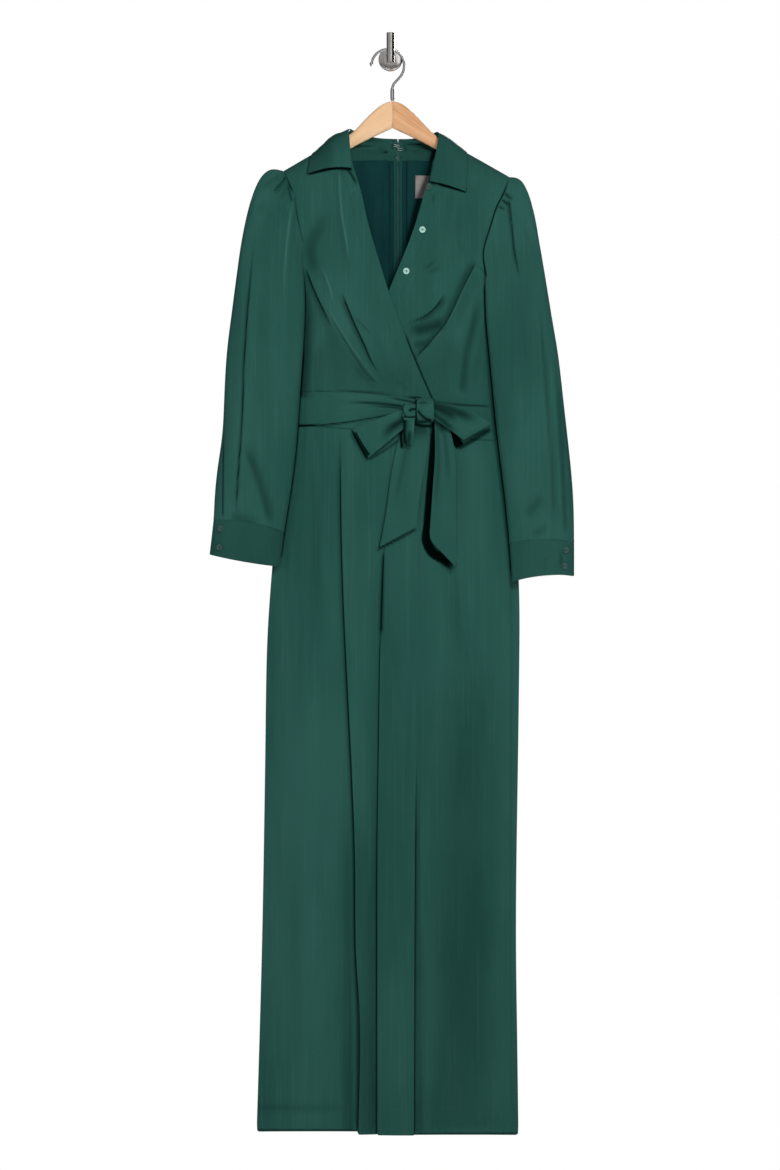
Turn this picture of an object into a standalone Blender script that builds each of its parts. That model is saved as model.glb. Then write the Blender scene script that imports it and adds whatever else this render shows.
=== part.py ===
"""A wrap-front satin jumpsuit that hangs on a wooden hanger from a small wall hook.

The origin is the centre of the hook plate's back face, +Z is up, and the garment's front faces -Y.
Sizes are in millimetres until a mesh is made from them. A drop is a distance below the origin. Left
and right are as seen from the front.
"""

import math
from dataclasses import dataclass

import bmesh
import bpy
import numpy as np

MM = 0.001  # metres in a millimetre

# Cloth
CLOTH = 1.2  # thickness of one wall of cloth
GAP = 0.3  # between pieces that touch
LAYER = CLOTH + GAP  # from one wall's middle to that of the wall lying on it
SIDE_SEAM = LAYER / 2  # from the garment's middle to each wall at a side seam

# Where the garment hangs, measured from the wall
HANG_Y = -44.0  # hanger's hook and centre
ARMS_FORWARD = 16.0  # how far the hanger's arms curve to the front
MID_Y = HANG_Y - ARMS_FORWARD  # middle of the garment below the shoulders
HANGER_X = 3.0

LEFT, RIGHT = -1, 1
FRONT, BACK = -1, 1
SIDES = {LEFT: "left", RIGHT: "right"}


# ---------------------------------------------------------------- tables and curves


def smooth_curve(where, known, values):
    """Values at WHERE on a curve through the known ones that never swings past them."""
    where = np.clip(where, known[0], known[-1])
    steps = np.diff(known)
    slopes = np.diff(values) / steps
    before, after = slopes[:-1], slopes[1:]
    least = 3 * np.minimum(abs(before), abs(after))
    inner = np.sign(after) * np.minimum(abs(before + after) / 2, least)
    inner = np.where(before * after > 0, inner, 0)
    tangents = np.concatenate([slopes[:1], inner, slopes[-1:]])
    index = np.clip(np.searchsorted(known, where, "right") - 1, 0, len(steps) - 1)
    step = steps[index]
    part = (where - known[index]) / step
    start = (1 + 2 * part) * (1 - part) ** 2 * values[index]
    end = part**2 * (3 - 2 * part) * values[index + 1]
    leaving = part * (1 - part) ** 2 * step * tangents[index]
    reaching = part**2 * (part - 1) * step * tangents[index + 1]
    return start + end + leaving + reaching


def smoothstep(low, high, at):
    share = np.clip((at - low) / (high - low), 0, 1)
    return share * share * (3 - 2 * share)


def mix(first, second, share):
    return first * (1 - share) + second * share


class Table:
    """A short table with named columns. Rows are sorted by the first column, or lie along a route."""

    def __init__(self, columns, *rows):
        self.names = columns.split()
        self.rows = np.array(rows, float)

    def __getitem__(self, column):
        return self.rows[:, self.names.index(column)]

    def at(self, column, where, key=None):
        """COLUMN where the key column, the first by default, is WHERE."""
        return smooth_curve(where, self[key or self.names[0]], self[column])

    def walk(self, shares):
        """All the columns at each share of the route's length."""
        lengths = np.linalg.norm(np.diff(self.rows, axis=0), axis=1)
        along = np.concatenate([[0], np.cumsum(lengths)]) / lengths.sum()
        return np.stack([smooth_curve(shares, along, column) for column in self.rows.T], -1)

    def then(self, other):
        """This route followed by another with the same columns."""
        return Table(" ".join(self.names), *self.rows, *other.rows)


# ---------------------------------------------------------------- the garment's form

RIDGE = Table(  # top of the shoulders, through the neck opening
    "x drop",
    (-161, 170),
    (-118, 145),
    (-66, 116),
    (3, 80),
    (70, 118),
    (128, 150),
    (190, 185),
)

BODY = Table(  # side seams, and how far front and back stand off the middle
    "drop left right front back",
    (80, -225, 243, 30, 24),
    (170, -225, 243, 30, 24),
    (260, -200, 218, 29, 23),
    (347, -173, 190, 25, 20),
    (420, -165, 181, 20, 16),
    (500, -155, 169, 16, 13),
    (551, -157, 171, 15, 12),
    (620, -166, 180, 15, 12),
    (700, -172, 188, 14, 12),
    (768, -176, 193, 13, 12),
    (830, -182, 194, 13, 12),
    (906, -186, 193, 13, 12),
    (999, -187, 192, 13, 12),
    (1197, -190, 189, 13, 12),
    (1311, -192, 188, 13, 12),
    (1464, -196, 190, 13, 12),
    (1625, -201, 192, 13, 12),
)

CENTRE_FRONT = Table(  # front seam of the trousers, then the line between the legs
    "drop x",
    (500, 6),
    (560, 3),
    (650, -3),
    (750, -10),
    (858, -14),
    (1060, -17),
    (1200, -19),
    (1625, -19),
)
CENTRE_BACK = Table(  # back seam with the zip, then the line between the legs
    "drop x",
    (100, 11.2),
    (500, 11.2),
    (570, 9),
    (660, 0),
    (750, -10),
    (858, -14),
    (1060, -17),
    (1200, -19),
    (1625, -19),
)

WAIST_SLOPE = 0.082
WAIST_START = Table("x drop", (-136, 500))
WAISTBAND_HEIGHT = 51.0
CROTCH_START, CROTCH_END = 690.0, 800.0
LEG_LAP = 1.6  # how far the right leg's inner edge lies in front of the left leg's
ROUND_SHOULDER = 80.0  # the cloth turns over the shoulder within this drop
RIDGE_SEAM = 0.6  # the shoulder seam's share of the side seam's distance


def waist(x):
    """Drop of the waistband's top edge."""
    return WAIST_START["drop"][0] + WAIST_SLOPE * (x - WAIST_START["x"][0])


def hip(x):
    """Drop of the waistband's bottom edge."""
    return waist(x) + WAISTBAND_HEIGHT


def hanger_y(x):
    return HANG_Y - ARMS_FORWARD * smoothstep(0, 120, abs(x - HANGER_X))


def lens(across):
    """Share of the full depth at ACROSS, which is -1 and 1 at the side seams."""
    return (1 - np.minimum(abs(across), 1) ** 2.4) ** 0.75


def body_y(face, x, drop):
    """The torso's cloth on one face."""
    fall = np.maximum(drop - RIDGE.at("drop", x), 0)
    middle = mix(hanger_y(x), MID_Y, smoothstep(0, 120, fall))
    over = np.sqrt(1 - (1 - np.minimum(fall / ROUND_SHOULDER, 1)) ** 2)
    left, right = BODY.at("left", drop), BODY.at("right", drop)
    across = (2 * x - left - right) / (right - left)
    depth = BODY.at("front" if face == FRONT else "back", drop) * over * lens(across)
    return middle + face * (SIDE_SEAM * mix(RIDGE_SEAM, 1, smoothstep(0, 10, fall)) + depth)


def leg_edges(side, drop):
    """The outer and the inner edge of one leg."""
    outer = BODY.at("left" if side == LEFT else "right", drop)
    inner = CENTRE_FRONT.at("x", drop)
    lap = LEG_LAP / 2 * smoothstep(CROTCH_END + 20, CROTCH_END + 120, drop)
    return outer, inner - side * lap


INNER_FORWARD = {LEFT: 1.0, RIGHT: 7.0}  # the right leg's inner edge lies in front


def leg_y(face, side, x, drop):
    """One leg's cloth on one face."""
    outer, inner = leg_edges(side, drop)
    across = (2 * x - outer - inner) / (outer - inner)
    forward = INNER_FORWARD[side] * smoothstep(0, 1, (outer - x) / (outer - inner))
    depth = BODY.at("front" if face == FRONT else "back", drop) * lens(across)
    return MID_Y - forward + face * (SIDE_SEAM + depth)


def trouser_y(face, side, x, drop):
    share = smoothstep(CROTCH_START, CROTCH_END, drop)
    return mix(body_y(face, x, drop), leg_y(face, side, x, drop), share)


# ---------------------------------------------------------------- folds


FOLD_STEPS = 24  # points along each fold's route
SEWN_FLAT = 0.3  # share of a fold's height that is left where it ends in a seam


@dataclass(frozen=True)
class Fold:
    """Cloth raised along a route that starts softly, with its own width on the -x and the +x side."""

    height: float
    minus_width: float
    plus_width: float
    route: Table

    def lift(self, x, drop):
        route = self.route.walk(np.linspace(0, 1, FOLD_STEPS))
        along = np.gradient(route, axis=0)
        away = np.stack([x, drop], -1)[..., None, :] - route
        nearest = np.linalg.norm(away, axis=-1).argmin(-1)
        share = nearest / (FOLD_STEPS - 1)
        ends = smoothstep(-0.05, 0.35, share) * mix(SEWN_FLAT, 1, smoothstep(1.02, 0.75, share))
        away = np.take_along_axis(away, nearest[..., None, None], -2)[..., 0, :]
        along = along[nearest]
        plus = away[..., 0] * along[..., 1] > away[..., 1] * along[..., 0]
        width = np.where(plus, self.plus_width, self.minus_width)
        return self.height * ends * np.exp(-((np.linalg.norm(away, axis=-1) / width) ** 2))


def fold(height, minus_width, plus_width, *route):
    return Fold(height, minus_width, plus_width, Table("x drop", *route))


def lift_of(folds, x, drop):
    return sum((each.lift(x, drop) for each in folds), np.zeros_like(x))


BODICE_FOLDS = {
    (FRONT, LEFT): (
        fold(8.0, 8, 18, (-72, 352), (-38, 430), (-22, 464), (-8, 484)),
        fold(8.0, 8, 18, (-103, 357), (-54, 438), (-14, 494)),
        fold(7.0, 9, 18, (-127, 318), (-90, 402), (-62, 450)),
        fold(4.5, 7, 12, (-42, 400), (-22, 420)),
        fold(3.5, 10, 14, (-103, 305), (-82, 367)),
        fold(4.0, 14, 18, (-80, 180), (-75, 231), (-61, 304), (-48, 352)),
        fold(3.0, 14, 18, (-120, 200), (-112, 250)),
    ),
    (FRONT, RIGHT): (
        fold(6.5, 17, 8, (80, 356), (56, 382), (38, 392)),
        fold(7.5, 18, 9, (127, 311), (98, 367), (84, 398), (62, 428)),
        fold(6.0, 18, 10, (137, 357), (118, 428), (106, 510)),
        fold(4.5, 16, 10, (96, 200), (92, 260), (78, 320)),
    ),
    (BACK, LEFT): (
        fold(4.0, 12, 18, (-100, 330), (-84, 420), (-70, 495)),
        fold(3.5, 12, 18, (-46, 380), (-40, 495)),
    ),
    (BACK, RIGHT): (
        fold(4.0, 18, 12, (118, 335), (100, 425), (86, 505)),
        fold(3.5, 18, 12, (62, 385), (56, 505)),
    ),
}

TROUSER_FOLDS = {
    (FRONT, LEFT): (fold(2.0, 22, 22, (-135, 600), (-140, 900), (-150, 1400)),),
    (FRONT, RIGHT): (
        fold(2.5, 22, 26, (105, 600), (111, 836), (133, 968), (151, 1044)),
        fold(2.0, 26, 20, (120, 1150), (125, 1600)),
    ),
    (BACK, LEFT): (
        fold(3.0, 14, 24, (-92, 580), (-100, 1000), (-106, 1600)),
        fold(2.0, 20, 20, (-50, 900), (-56, 1600)),
    ),
    (BACK, RIGHT): (
        fold(3.0, 24, 14, (104, 590), (96, 1000), (90, 1600)),
        fold(2.0, 20, 20, (140, 900), (146, 1600)),
    ),
}

# A pressed crease: the strip between it and the leg's inner edge stands proud of the rest.
CREASE_WIDTH = 2.5
CREASES = {
    LEFT: Table(
        "drop x proud",
        (545, -75, 3),
        (723, -73, 4),
        (845, -69, 5),
        (968, -63, 7),
        (1090, -57, 8),
        (1200, -53, 10),
        (1341, -52, 11),
        (1433, -46, 12),
        (1625, -48, 12),
    ),
    RIGHT: Table(
        "drop x proud",
        (545, 60, 0.6),
        (860, 44, 0.8),
        (1044, 38, 1.5),
        (1150, 37, 4),
        (1300, 36, 7),
        (1450, 35.5, 9),
        (1625, 35, 10),
    ),
}
PROUD_AT_INNER_EDGE = {LEFT: 0.1, RIGHT: 0.75}


def crease_lift(side, x, drop):
    crease = CREASES[side]
    line = crease.at("x", drop)
    inner = leg_edges(side, drop)[1]
    past = np.clip((line - x) * side / CREASE_WIDTH + 1, 0, 1)
    inward = np.clip((line - x) / (line - inner), 0, 1)
    fading = mix(1, PROUD_AT_INNER_EDGE[side], inward)
    return crease.at("proud", drop) * past * fading


# ---------------------------------------------------------------- meshes


@dataclass(frozen=True)
class Finish:
    """Colour, roughness and metallic value of a material."""

    colour: tuple
    roughness: float
    metallic: float = 0.0


SATIN = Finish((0.022, 0.090, 0.072), 0.38)
LINING = Finish((0.008, 0.035, 0.036), 0.55)
LABEL = Finish((0.30, 0.27, 0.25), 0.80)
MINT = Finish((0.30, 0.50, 0.44), 0.25)
DARK_BUTTON = Finish((0.015, 0.045, 0.040), 0.25)
LIGHT_WOOD = Finish((0.76, 0.52, 0.32), 0.45)
WARM_WOOD = Finish((0.72, 0.45, 0.25), 0.45)
CHROME = Finish((0.72, 0.72, 0.72), 0.12, 1.0)
STEEL = Finish((0.55, 0.55, 0.55), 0.32, 1.0)
SILVER = Finish((0.80, 0.80, 0.80), 0.20, 1.0)


def add_object(name, data, finish):
    """Puts the data in the scene as an object with a material of its own."""
    material = bpy.data.materials.new(name + "_finish")
    material.use_nodes = True
    shader = material.node_tree.nodes["Principled BSDF"]
    shader.inputs["Base Color"].default_value = (*finish.colour, 1)
    shader.inputs["Roughness"].default_value = finish.roughness
    shader.inputs["Metallic"].default_value = finish.metallic
    data.materials.append(material)
    made = bpy.data.objects.new(name, data)
    bpy.context.scene.collection.objects.link(made)
    return made


def add_mesh(name, points, faces, finish, sharp_degrees=40):
    """A solid from points in millimetres, with its faces turned outwards."""
    mesh = bpy.data.meshes.new(name)
    mesh.from_pydata((np.asarray(points) * MM).tolist(), [], faces)
    solid = bmesh.new()
    solid.from_mesh(mesh)
    bmesh.ops.recalc_face_normals(solid, faces=solid.faces)
    solid.to_mesh(mesh)
    solid.free()
    mesh.shade_smooth()
    mesh.set_sharp_from_angle(angle=math.radians(sharp_degrees))
    return add_object(name, mesh, finish)


def grid_faces(rows, columns, ring, start=0):
    """Quads of a grid of points numbered row by row. A ring's last column meets its first."""
    faces = []
    for row in range(rows - 1):
        for column in range(columns if ring else columns - 1):
            after = (column + 1) % columns
            first, second = start + row * columns, start + (row + 1) * columns
            faces.append((first + column, first + after, second + after, second + column))
    return faces


def grid_normals(grid, ring):
    down = np.gradient(grid, axis=0)
    if ring:
        across = (np.roll(grid, -1, axis=1) - np.roll(grid, 1, axis=1)) / 2
    else:
        across = np.gradient(grid, axis=1)
    normals = np.cross(down, across)
    return normals / np.linalg.norm(normals, axis=-1, keepdims=True)


def trimmed(grid, ring=False, amount=GAP / 2):
    """The grid with its edges drawn in along the cloth, to leave a gap at each seam."""
    grid = grid.copy()
    for view in (grid,) if ring else (grid, grid.swapaxes(0, 1)):
        for edge, inner in ((0, 1), (-1, -2)):
            inward = view[inner] - view[edge]
            view[edge] += amount * inward / np.linalg.norm(inward, axis=-1, keepdims=True)
    return grid


def wall(name, grid, finish, thickness=CLOTH, ring=False):
    """A closed wall of cloth round a grid of points on its middle surface."""
    rows, columns = grid.shape[:2]
    half = grid_normals(grid, ring) * thickness / 2
    points = np.concatenate([(grid + half).reshape(-1, 3), (grid - half).reshape(-1, 3)])
    other = rows * columns
    faces = grid_faces(rows, columns, ring)
    faces += [tuple(other + corner for corner in reversed(face)) for face in faces]
    numbers = np.arange(other).reshape(rows, columns)
    borders = [numbers[0], numbers[-1][::-1]]
    if not ring:
        borders += [numbers[::-1, 0], numbers[:, -1]]
    for border in borders:
        ends = np.append(border, border[:1]) if ring else border
        for first, second in zip(ends[:-1].tolist(), ends[1:].tolist()):
            faces.append((second, first, other + first, other + second))
    return add_mesh(name, points, faces, finish)


def loft(name, rings, finish, sharp_degrees=40):
    """A solid through closed rings of points, with flat ends."""
    rings = np.asarray(rings, float)
    count, around = rings.shape[:2]
    faces = grid_faces(count, around, ring=True)
    faces.append(tuple(range(around)))
    faces.append(tuple(range(around * (count - 1), around * count)))
    return add_mesh(name, rings.reshape(-1, 3), faces, finish, sharp_degrees)


def turned_rings(profile, centre, axis, side, around):
    """Rings round an axis from rows of radius and height. SIDE is a direction across the axis."""
    axis, side = np.array(axis, float), np.array(side, float)
    angles = np.arange(around) / around * math.tau
    spokes = np.cos(angles)[:, None] * side + np.sin(angles)[:, None] * np.cross(axis, side)
    return [np.array(centre) + height * axis + radius * spokes for radius, height in profile]


def box_mesh(name, low, high, finish):
    """An upright box between two corners."""
    low, high = np.array(low, float), np.array(high, float)
    corners = ((0, 0), (1, 0), (1, 1), (0, 1))
    rings = [[low + (high - low) * (x, y, z) for x, y in corners] for z in (0, 1)]
    return loft(name, rings, finish)


def in_space(x, y, drop):
    x, y, drop = np.broadcast_arrays(x, y, drop)
    return np.stack([x, y, -drop], -1)


def patch(top, bottom, start, end):
    """A grid of flat points between four edges: TOP and BOTTOM by column, START and END by row."""
    down = np.linspace(0, 1, len(start))[:, None, None]
    across = np.linspace(0, 1, len(top))[None, :, None]
    between_rows = mix(top[None], bottom[None], down)
    between_columns = mix(start[:, None], end[:, None], across)
    corners = mix(mix(top[0], top[-1], across), mix(bottom[0], bottom[-1], across), down)
    return between_rows + between_columns - corners


def strip(start, end, columns):
    """A grid of points between two edges with the same number of rows."""
    return mix(start[:, None], end[:, None], np.linspace(0, 1, columns)[None, :, None])


def moved_out(face, x, drop, distance, y_of):
    """Points that lie DISTANCE outside the cloth on one face, along its normal."""
    tiny = 0.05
    y = y_of(x, drop)
    slope_x = (y_of(x + tiny, drop) - y_of(x - tiny, drop)) / (2 * tiny)
    slope_drop = (y_of(x, drop + tiny) - y_of(x, drop - tiny)) / (2 * tiny)
    normals = np.stack([-slope_x, np.ones_like(y), slope_drop], -1) * face
    normals /= np.linalg.norm(normals, axis=-1, keepdims=True)
    return in_space(x, y, drop) + normals * distance


# ---------------------------------------------------------------- the wrapped front

ARMHOLE = {
    (FRONT, LEFT): Table(
        "x drop",
        (-161, 170),
        (-152, 189),
        (-144, 207),
        (-141, 233),
        (-136, 255),
        (-131, 278),
        (-134, 305),
        (-148, 331),
        (-172.6, 347),
    ),
    (BACK, LEFT): Table(
        "x drop",
        (-161, 170),
        (-151, 198),
        (-147, 240),
        (-148, 285),
        (-157, 325),
        (-172.6, 347),
    ),
    (FRONT, RIGHT): Table(
        "x drop",
        (179, 179),
        (171, 200),
        (160, 222),
        (150, 252),
        (139, 297),
        (143, 325),
        (158, 345),
        (188.5, 357),
    ),
    (BACK, RIGHT): Table(
        "x drop",
        (179, 179),
        (169, 208),
        (164, 250),
        (165, 295),
        (173, 335),
        (188.5, 357),
    ),
}

FRONT_EDGE = {
    LEFT: Table(
        "x drop",
        (-59, 150),
        (-55, 168),
        (-46, 191),
        (-34, 248),
        (-18.5, 299),
        (-3, 350),
        (16, 402),
        (36, 454),
        (63.5, 516.4),
    ),
    RIGHT: Table(
        "x drop",
        (64, 152),
        (58, 185),
        (48, 208),
        (43, 231),
        (32, 265),
        (15, 307),
        (-3, 350),
        (-20, 394),
        (-62, 506),
    ),
}
BAND_SEAM = {
    LEFT: Table(
        "x drop",
        (-77, 150),
        (-73, 172),
        (-64, 195),
        (-52, 252),
        (-36, 305),
        (-20, 356),
        (-1, 408),
        (19, 460),
        (44, 514.8),
    ),
    RIGHT: Table(
        "x drop",
        (83, 152),
        (76, 188),
        (67, 214),
        (60, 238),
        (49, 273),
        (32, 315),
        (14, 358),
        (-3, 402),
        (-43, 507.6),
    ),
}
NECK_POINT = {
    LEFT: Table("x drop", (-68, 117.1), (-76, 134)),
    RIGHT: Table("x drop", (72, 119.1), (82, 137)),
}
UNDER_LAP = 3.2  # how far the right front lies behind the left one that laps over it

BODICE_ROWS = 16
BODICE_COLUMNS = 18
ARMHOLE_ROWS = 8  # rows that end at the armhole, and the others at the side seam
NEAR_SHOULDER = 1.9  # over 1, the rows lie closer together at the shoulder
BAND_FIRST_ROW = 3  # the bands start below the collar


def lapped_under(x, drop):
    """How far the right front is set back where the left front lies over it."""
    over_edge = FRONT_EDGE[LEFT].at("x", drop, key="drop")
    return UNDER_LAP * (1 - smoothstep(over_edge + 3, over_edge + 20, x))


def bodice_y(face, side, x, drop):
    y = body_y(face, x, drop) + face * lift_of(BODICE_FOLDS[face, side], x, drop)
    if (face, side) == (FRONT, RIGHT):
        y = y + lapped_under(x, drop)
    return y


def shoulder_seam(side, columns):
    x = np.linspace(ARMHOLE[FRONT, side]["x"][0], NECK_POINT[side]["x"][0], columns)
    return np.stack([x, RIDGE.at("drop", x)], -1)


def outer_edge(face, side, rows):
    """The armhole and then the side seam, one point a row, closest at the shoulder."""
    armhole = ARMHOLE[face, side].walk(np.linspace(0, 1, ARMHOLE_ROWS) ** NEAR_SHOULDER)
    side_name = "left" if side == LEFT else "right"
    bottom = waist(BODY.at(side_name, 505))
    drop = np.linspace(armhole[-1, 1], bottom, rows - ARMHOLE_ROWS + 1)[1:]
    return np.concatenate([armhole, np.stack([BODY.at(side_name, drop), drop], -1)])


def waist_edge(start, end, columns):
    x = np.linspace(start[0], end[0], columns)
    return np.stack([x, waist(x)], -1)


def make_bodice_front(side):
    shares = np.linspace(0, 1, BODICE_ROWS) ** 1.35
    seam = NECK_POINT[side].then(BAND_SEAM[side]).walk(shares)
    seam[-1, 1] = waist(seam[-1, 0])
    outer = outer_edge(FRONT, side, BODICE_ROWS)
    top = shoulder_seam(side, BODICE_COLUMNS)
    flat = patch(top, waist_edge(outer[-1], seam[-1], BODICE_COLUMNS), outer, seam)
    x, drop = flat[..., 0], flat[..., 1]
    panel = in_space(x, bodice_y(FRONT, side, x, drop), drop)
    wall("bodice_front_" + SIDES[side], trimmed(panel), SATIN)

    band_seam = seam[BAND_FIRST_ROW:]
    lowered = (band_seam[:, 1] - band_seam[0, 1]) / (band_seam[-1, 1] - band_seam[0, 1])
    edge = FRONT_EDGE[side].walk(lowered)
    edge[-1, 1] = waist(edge[-1, 0])
    flat = strip(band_seam, edge, 3)
    x, drop = flat[..., 0], flat[..., 1]
    band = in_space(x, bodice_y(FRONT, side, x, drop), drop)
    wall("front_band_" + SIDES[side], trimmed(band), SATIN)


NECKLINE_BACK = {
    LEFT: Table("x drop", (-68, 117.1), (-48, 134), (-20, 145), (10.6, 149)),
    RIGHT: Table("x drop", (72, 119.1), (56, 134), (34, 145), (11.8, 149)),
}
BACK_ROWS = 13
BACK_COLUMNS = 9
NECKLINE_ROWS = 5  # rows that end at the neckline, and the others at the zip
ZIP_SLIT = 0.35  # from the centre back line to each side's cloth


def zip_edge(side, drop):
    return np.stack([CENTRE_BACK.at("x", drop) + side * ZIP_SLIT, drop], -1)


def back_inner_edge(side, rows):
    """The back neckline and then the zip, one point a row."""
    neckline = NECKLINE_BACK[side].walk(np.linspace(0, 1, NECKLINE_ROWS) ** NEAR_SHOULDER)
    bottom = waist(CENTRE_BACK["x"][0])
    drop = np.linspace(neckline[-1, 1], bottom, rows - NECKLINE_ROWS + 1)[1:]
    return np.concatenate([neckline, zip_edge(side, drop)])


def make_bodice_back(side):
    outer = outer_edge(BACK, side, BACK_ROWS)
    inner = back_inner_edge(side, BACK_ROWS)
    top = shoulder_seam(side, BACK_COLUMNS)
    flat = patch(top, waist_edge(outer[-1], inner[-1], BACK_COLUMNS), outer, inner)
    x, drop = flat[..., 0], flat[..., 1]
    panel = in_space(x, bodice_y(BACK, side, x, drop), drop)
    wall("bodice_back_" + SIDES[side], trimmed(panel), SATIN)


# ---------------------------------------------------------------- inside of the back

TAPE_WIDTH = 13.0
TAPE_TOP, TAPE_BOTTOM = 153.0, 615.0
TAPE_THICKNESS = 0.8
TAPE_LAP = {LEFT: 1.2, RIGHT: 1.6}  # the left tape runs on behind the slit, up to the right one
LINING_THICKNESS = 1.0
LINING_ROWS, LINING_COLUMNS = 10, 8
LINING_SLACK = 2.2  # how far it hangs inside the back
LINING_TOP = {  # from the shoulder to the zip
    LEFT: Table("x drop", (-128, 178), (-98, 162), (-64, 153), (-2.6, 153)),
    RIGHT: Table("x drop", (146, 188), (110, 167), (72, 154), (25, 153)),
}
LINING_WAIST = {LEFT: -140.0, RIGHT: 154.0}
LABEL_SIZE = (40.0, 34.0)
LABEL_CORNER = (37.0, 176.0)
LABEL_THICKNESS = 0.8
LABEL_SLACK = 1.2


def inside_back(side, x, drop, depth):
    """Points DEPTH inside the bodice back's middle surface."""
    return moved_out(BACK, x, drop, -depth, lambda at_x, at: bodice_y(BACK, side, at_x, at))


def make_lining(side):
    """The part of the back's lining that shows through the open neck, down to the waist."""
    inner_x = CENTRE_BACK["x"][0] + side * (ZIP_SLIT + TAPE_WIDTH + GAP)
    top = LINING_TOP[side].walk(np.linspace(0, 1, LINING_COLUMNS))
    bottom_x = np.linspace(LINING_WAIST[side], inner_x, LINING_COLUMNS)
    bottom = np.stack([bottom_x, waist(bottom_x) - 4], -1)
    flat = strip(top, bottom, LINING_ROWS).swapaxes(0, 1)
    x, drop = flat[..., 0], flat[..., 1]
    depth = CLOTH / 2 + GAP + LINING_SLACK + LINING_THICKNESS / 2
    wall("back_lining_" + SIDES[side], inside_back(side, x, drop, depth), LINING, LINING_THICKNESS)


def make_zip_tape(side):
    drop = np.linspace(TAPE_TOP, TAPE_BOTTOM, 12)[:, None]
    inner = TAPE_LAP[side]
    x = CENTRE_BACK.at("x", drop) + np.array([inner, side * TAPE_WIDTH])[None]
    drop = np.broadcast_to(drop, x.shape)
    y = np.where(drop < 560, bodice_y(BACK, side, x, drop), trouser_y(BACK, side, x, drop))
    depth = CLOTH / 2 + GAP + TAPE_THICKNESS / 2
    wall("zip_tape_" + SIDES[side], in_space(x, y - depth, drop), SATIN, TAPE_THICKNESS)


def make_label():
    x = LABEL_CORNER[0] + np.linspace(0, LABEL_SIZE[0], 4)[None, :]
    drop = LABEL_CORNER[1] + np.linspace(0, LABEL_SIZE[1], 4)[:, None]
    x, drop = np.broadcast_arrays(x, drop)
    depth = CLOTH / 2 + GAP + LINING_SLACK + LINING_THICKNESS + LABEL_SLACK + LABEL_THICKNESS / 2
    wall("neck_label", inside_back(RIGHT, x, drop, depth), LABEL, LABEL_THICKNESS)


# ---------------------------------------------------------------- collar

# From the centre back, over the shoulder, to the collar's front end. The left half; the right half
# is its mirror image but for the columns of its own.
COLLAR = {
    LEFT: Table(
        "roll_x roll_y roll_drop edge_x edge_y edge_drop",
        (10.8, -40.8, 121, 3.5, -27.5, 163),
        (-14, -40.2, 120, -26, -27.5, 166),
        (-34, -38.7, 116.5, -58, -31.0, 165),
        (-48, -41.0, 111.5, -88, -39.0, 160),
        (-57, -43.3, 107, -106, -47.0, 149),
        (-61.5, -53.0, 104.8, -113, -57.0, 139),
        (-62.6, -63.0, 106.5, -118, -66.0, 143.5),
        (-61.5, -76.0, 122, -121.5, -74.0, 154),
        (-59.5, -87.0, 145, -123.5, -79.0, 164),
        (-57.3, -91.0, 165, -124.7, -83.0, 173.6),
    ),
    RIGHT: Table(
        "roll_x roll_y roll_drop edge_x edge_y edge_drop",
        (11.6, -40.8, 121, 18.9, -27.5, 163),
        (28, -40.2, 121, 40, -27.5, 166),
        (44, -38.7, 118.5, 66, -31.0, 167),
        (57, -41.0, 114.5, 90, -39.0, 161),
        (66, -43.3, 111.5, 104, -47.0, 150),
        (71, -53.0, 110, 110, -57.0, 137),
        (72.2, -63.0, 112.5, 115, -66.0, 143.5),
        (70.5, -76.0, 128, 116.3, -74.0, 162),
        (65.0, -87.0, 155, 114.5, -80.0, 184),
        (58.4, -91.0, 185, 113.1, -85.0, 200.9),
    ),
}
COLLAR_ROWS, COLLAR_COLUMNS = 15, 5
COLLAR_CLEARANCE = LAYER + 1.7  # from the shoulder's cloth to the collar's
COLLAR_BOW = 5.0  # how far the leaf bows out between its roll and its edge
COLLAR_END_DIP = {LEFT: 5.0, RIGHT: 2.0}  # the front end's lower edge bows up

STAND = {  # seam to the neckline of the back, the shoulder's top and the front, by face
    LEFT: Table(
        "face seam_x seam_drop roll_x roll_y roll_drop",
        (1, 10.8, 148.2, 10.8, -42.0, 121),
        (1, -20, 143.2, -14, -41.5, 120),
        (1, -44, 133.5, -34, -40.0, 116.5),
        (1, -57, 125.0, -48, -42.3, 111.5),
        (1, -64, 118.8, -57, -44.8, 107),
        (0, -67.5, 114.8, -61.5, -53.0, 104.8),
        (-1, -70, 121.0, -62.6, -63.0, 106.5),
    ),
    RIGHT: Table(
        "face seam_x seam_drop roll_x roll_y roll_drop",
        (1, 11.6, 148.2, 11.6, -42.0, 121),
        (1, 34, 143.2, 28, -41.5, 121),
        (1, 53, 134.0, 44, -40.0, 118.5),
        (1, 63, 127.0, 57, -42.3, 114.5),
        (1, 69, 120.5, 66, -44.8, 111.5),
        (0, 72, 116.8, 71, -53.0, 110),
        (-1, 74.5, 123.0, 72.2, -63.0, 112.5),
    ),
}
STAND_BELOW_ROLL = 2.7
NECK_HEM = 9.0  # the fall clears the seam of the stand too
NEAR_RIDGE = 0.55  # within this share of the depth the cloth lies on top of the shoulder
NECK_DROP, NECK_RISE, NECK_WIDTH = 148.0, 31.0, 70.0  # the neck opening's edge, as a curve


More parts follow.
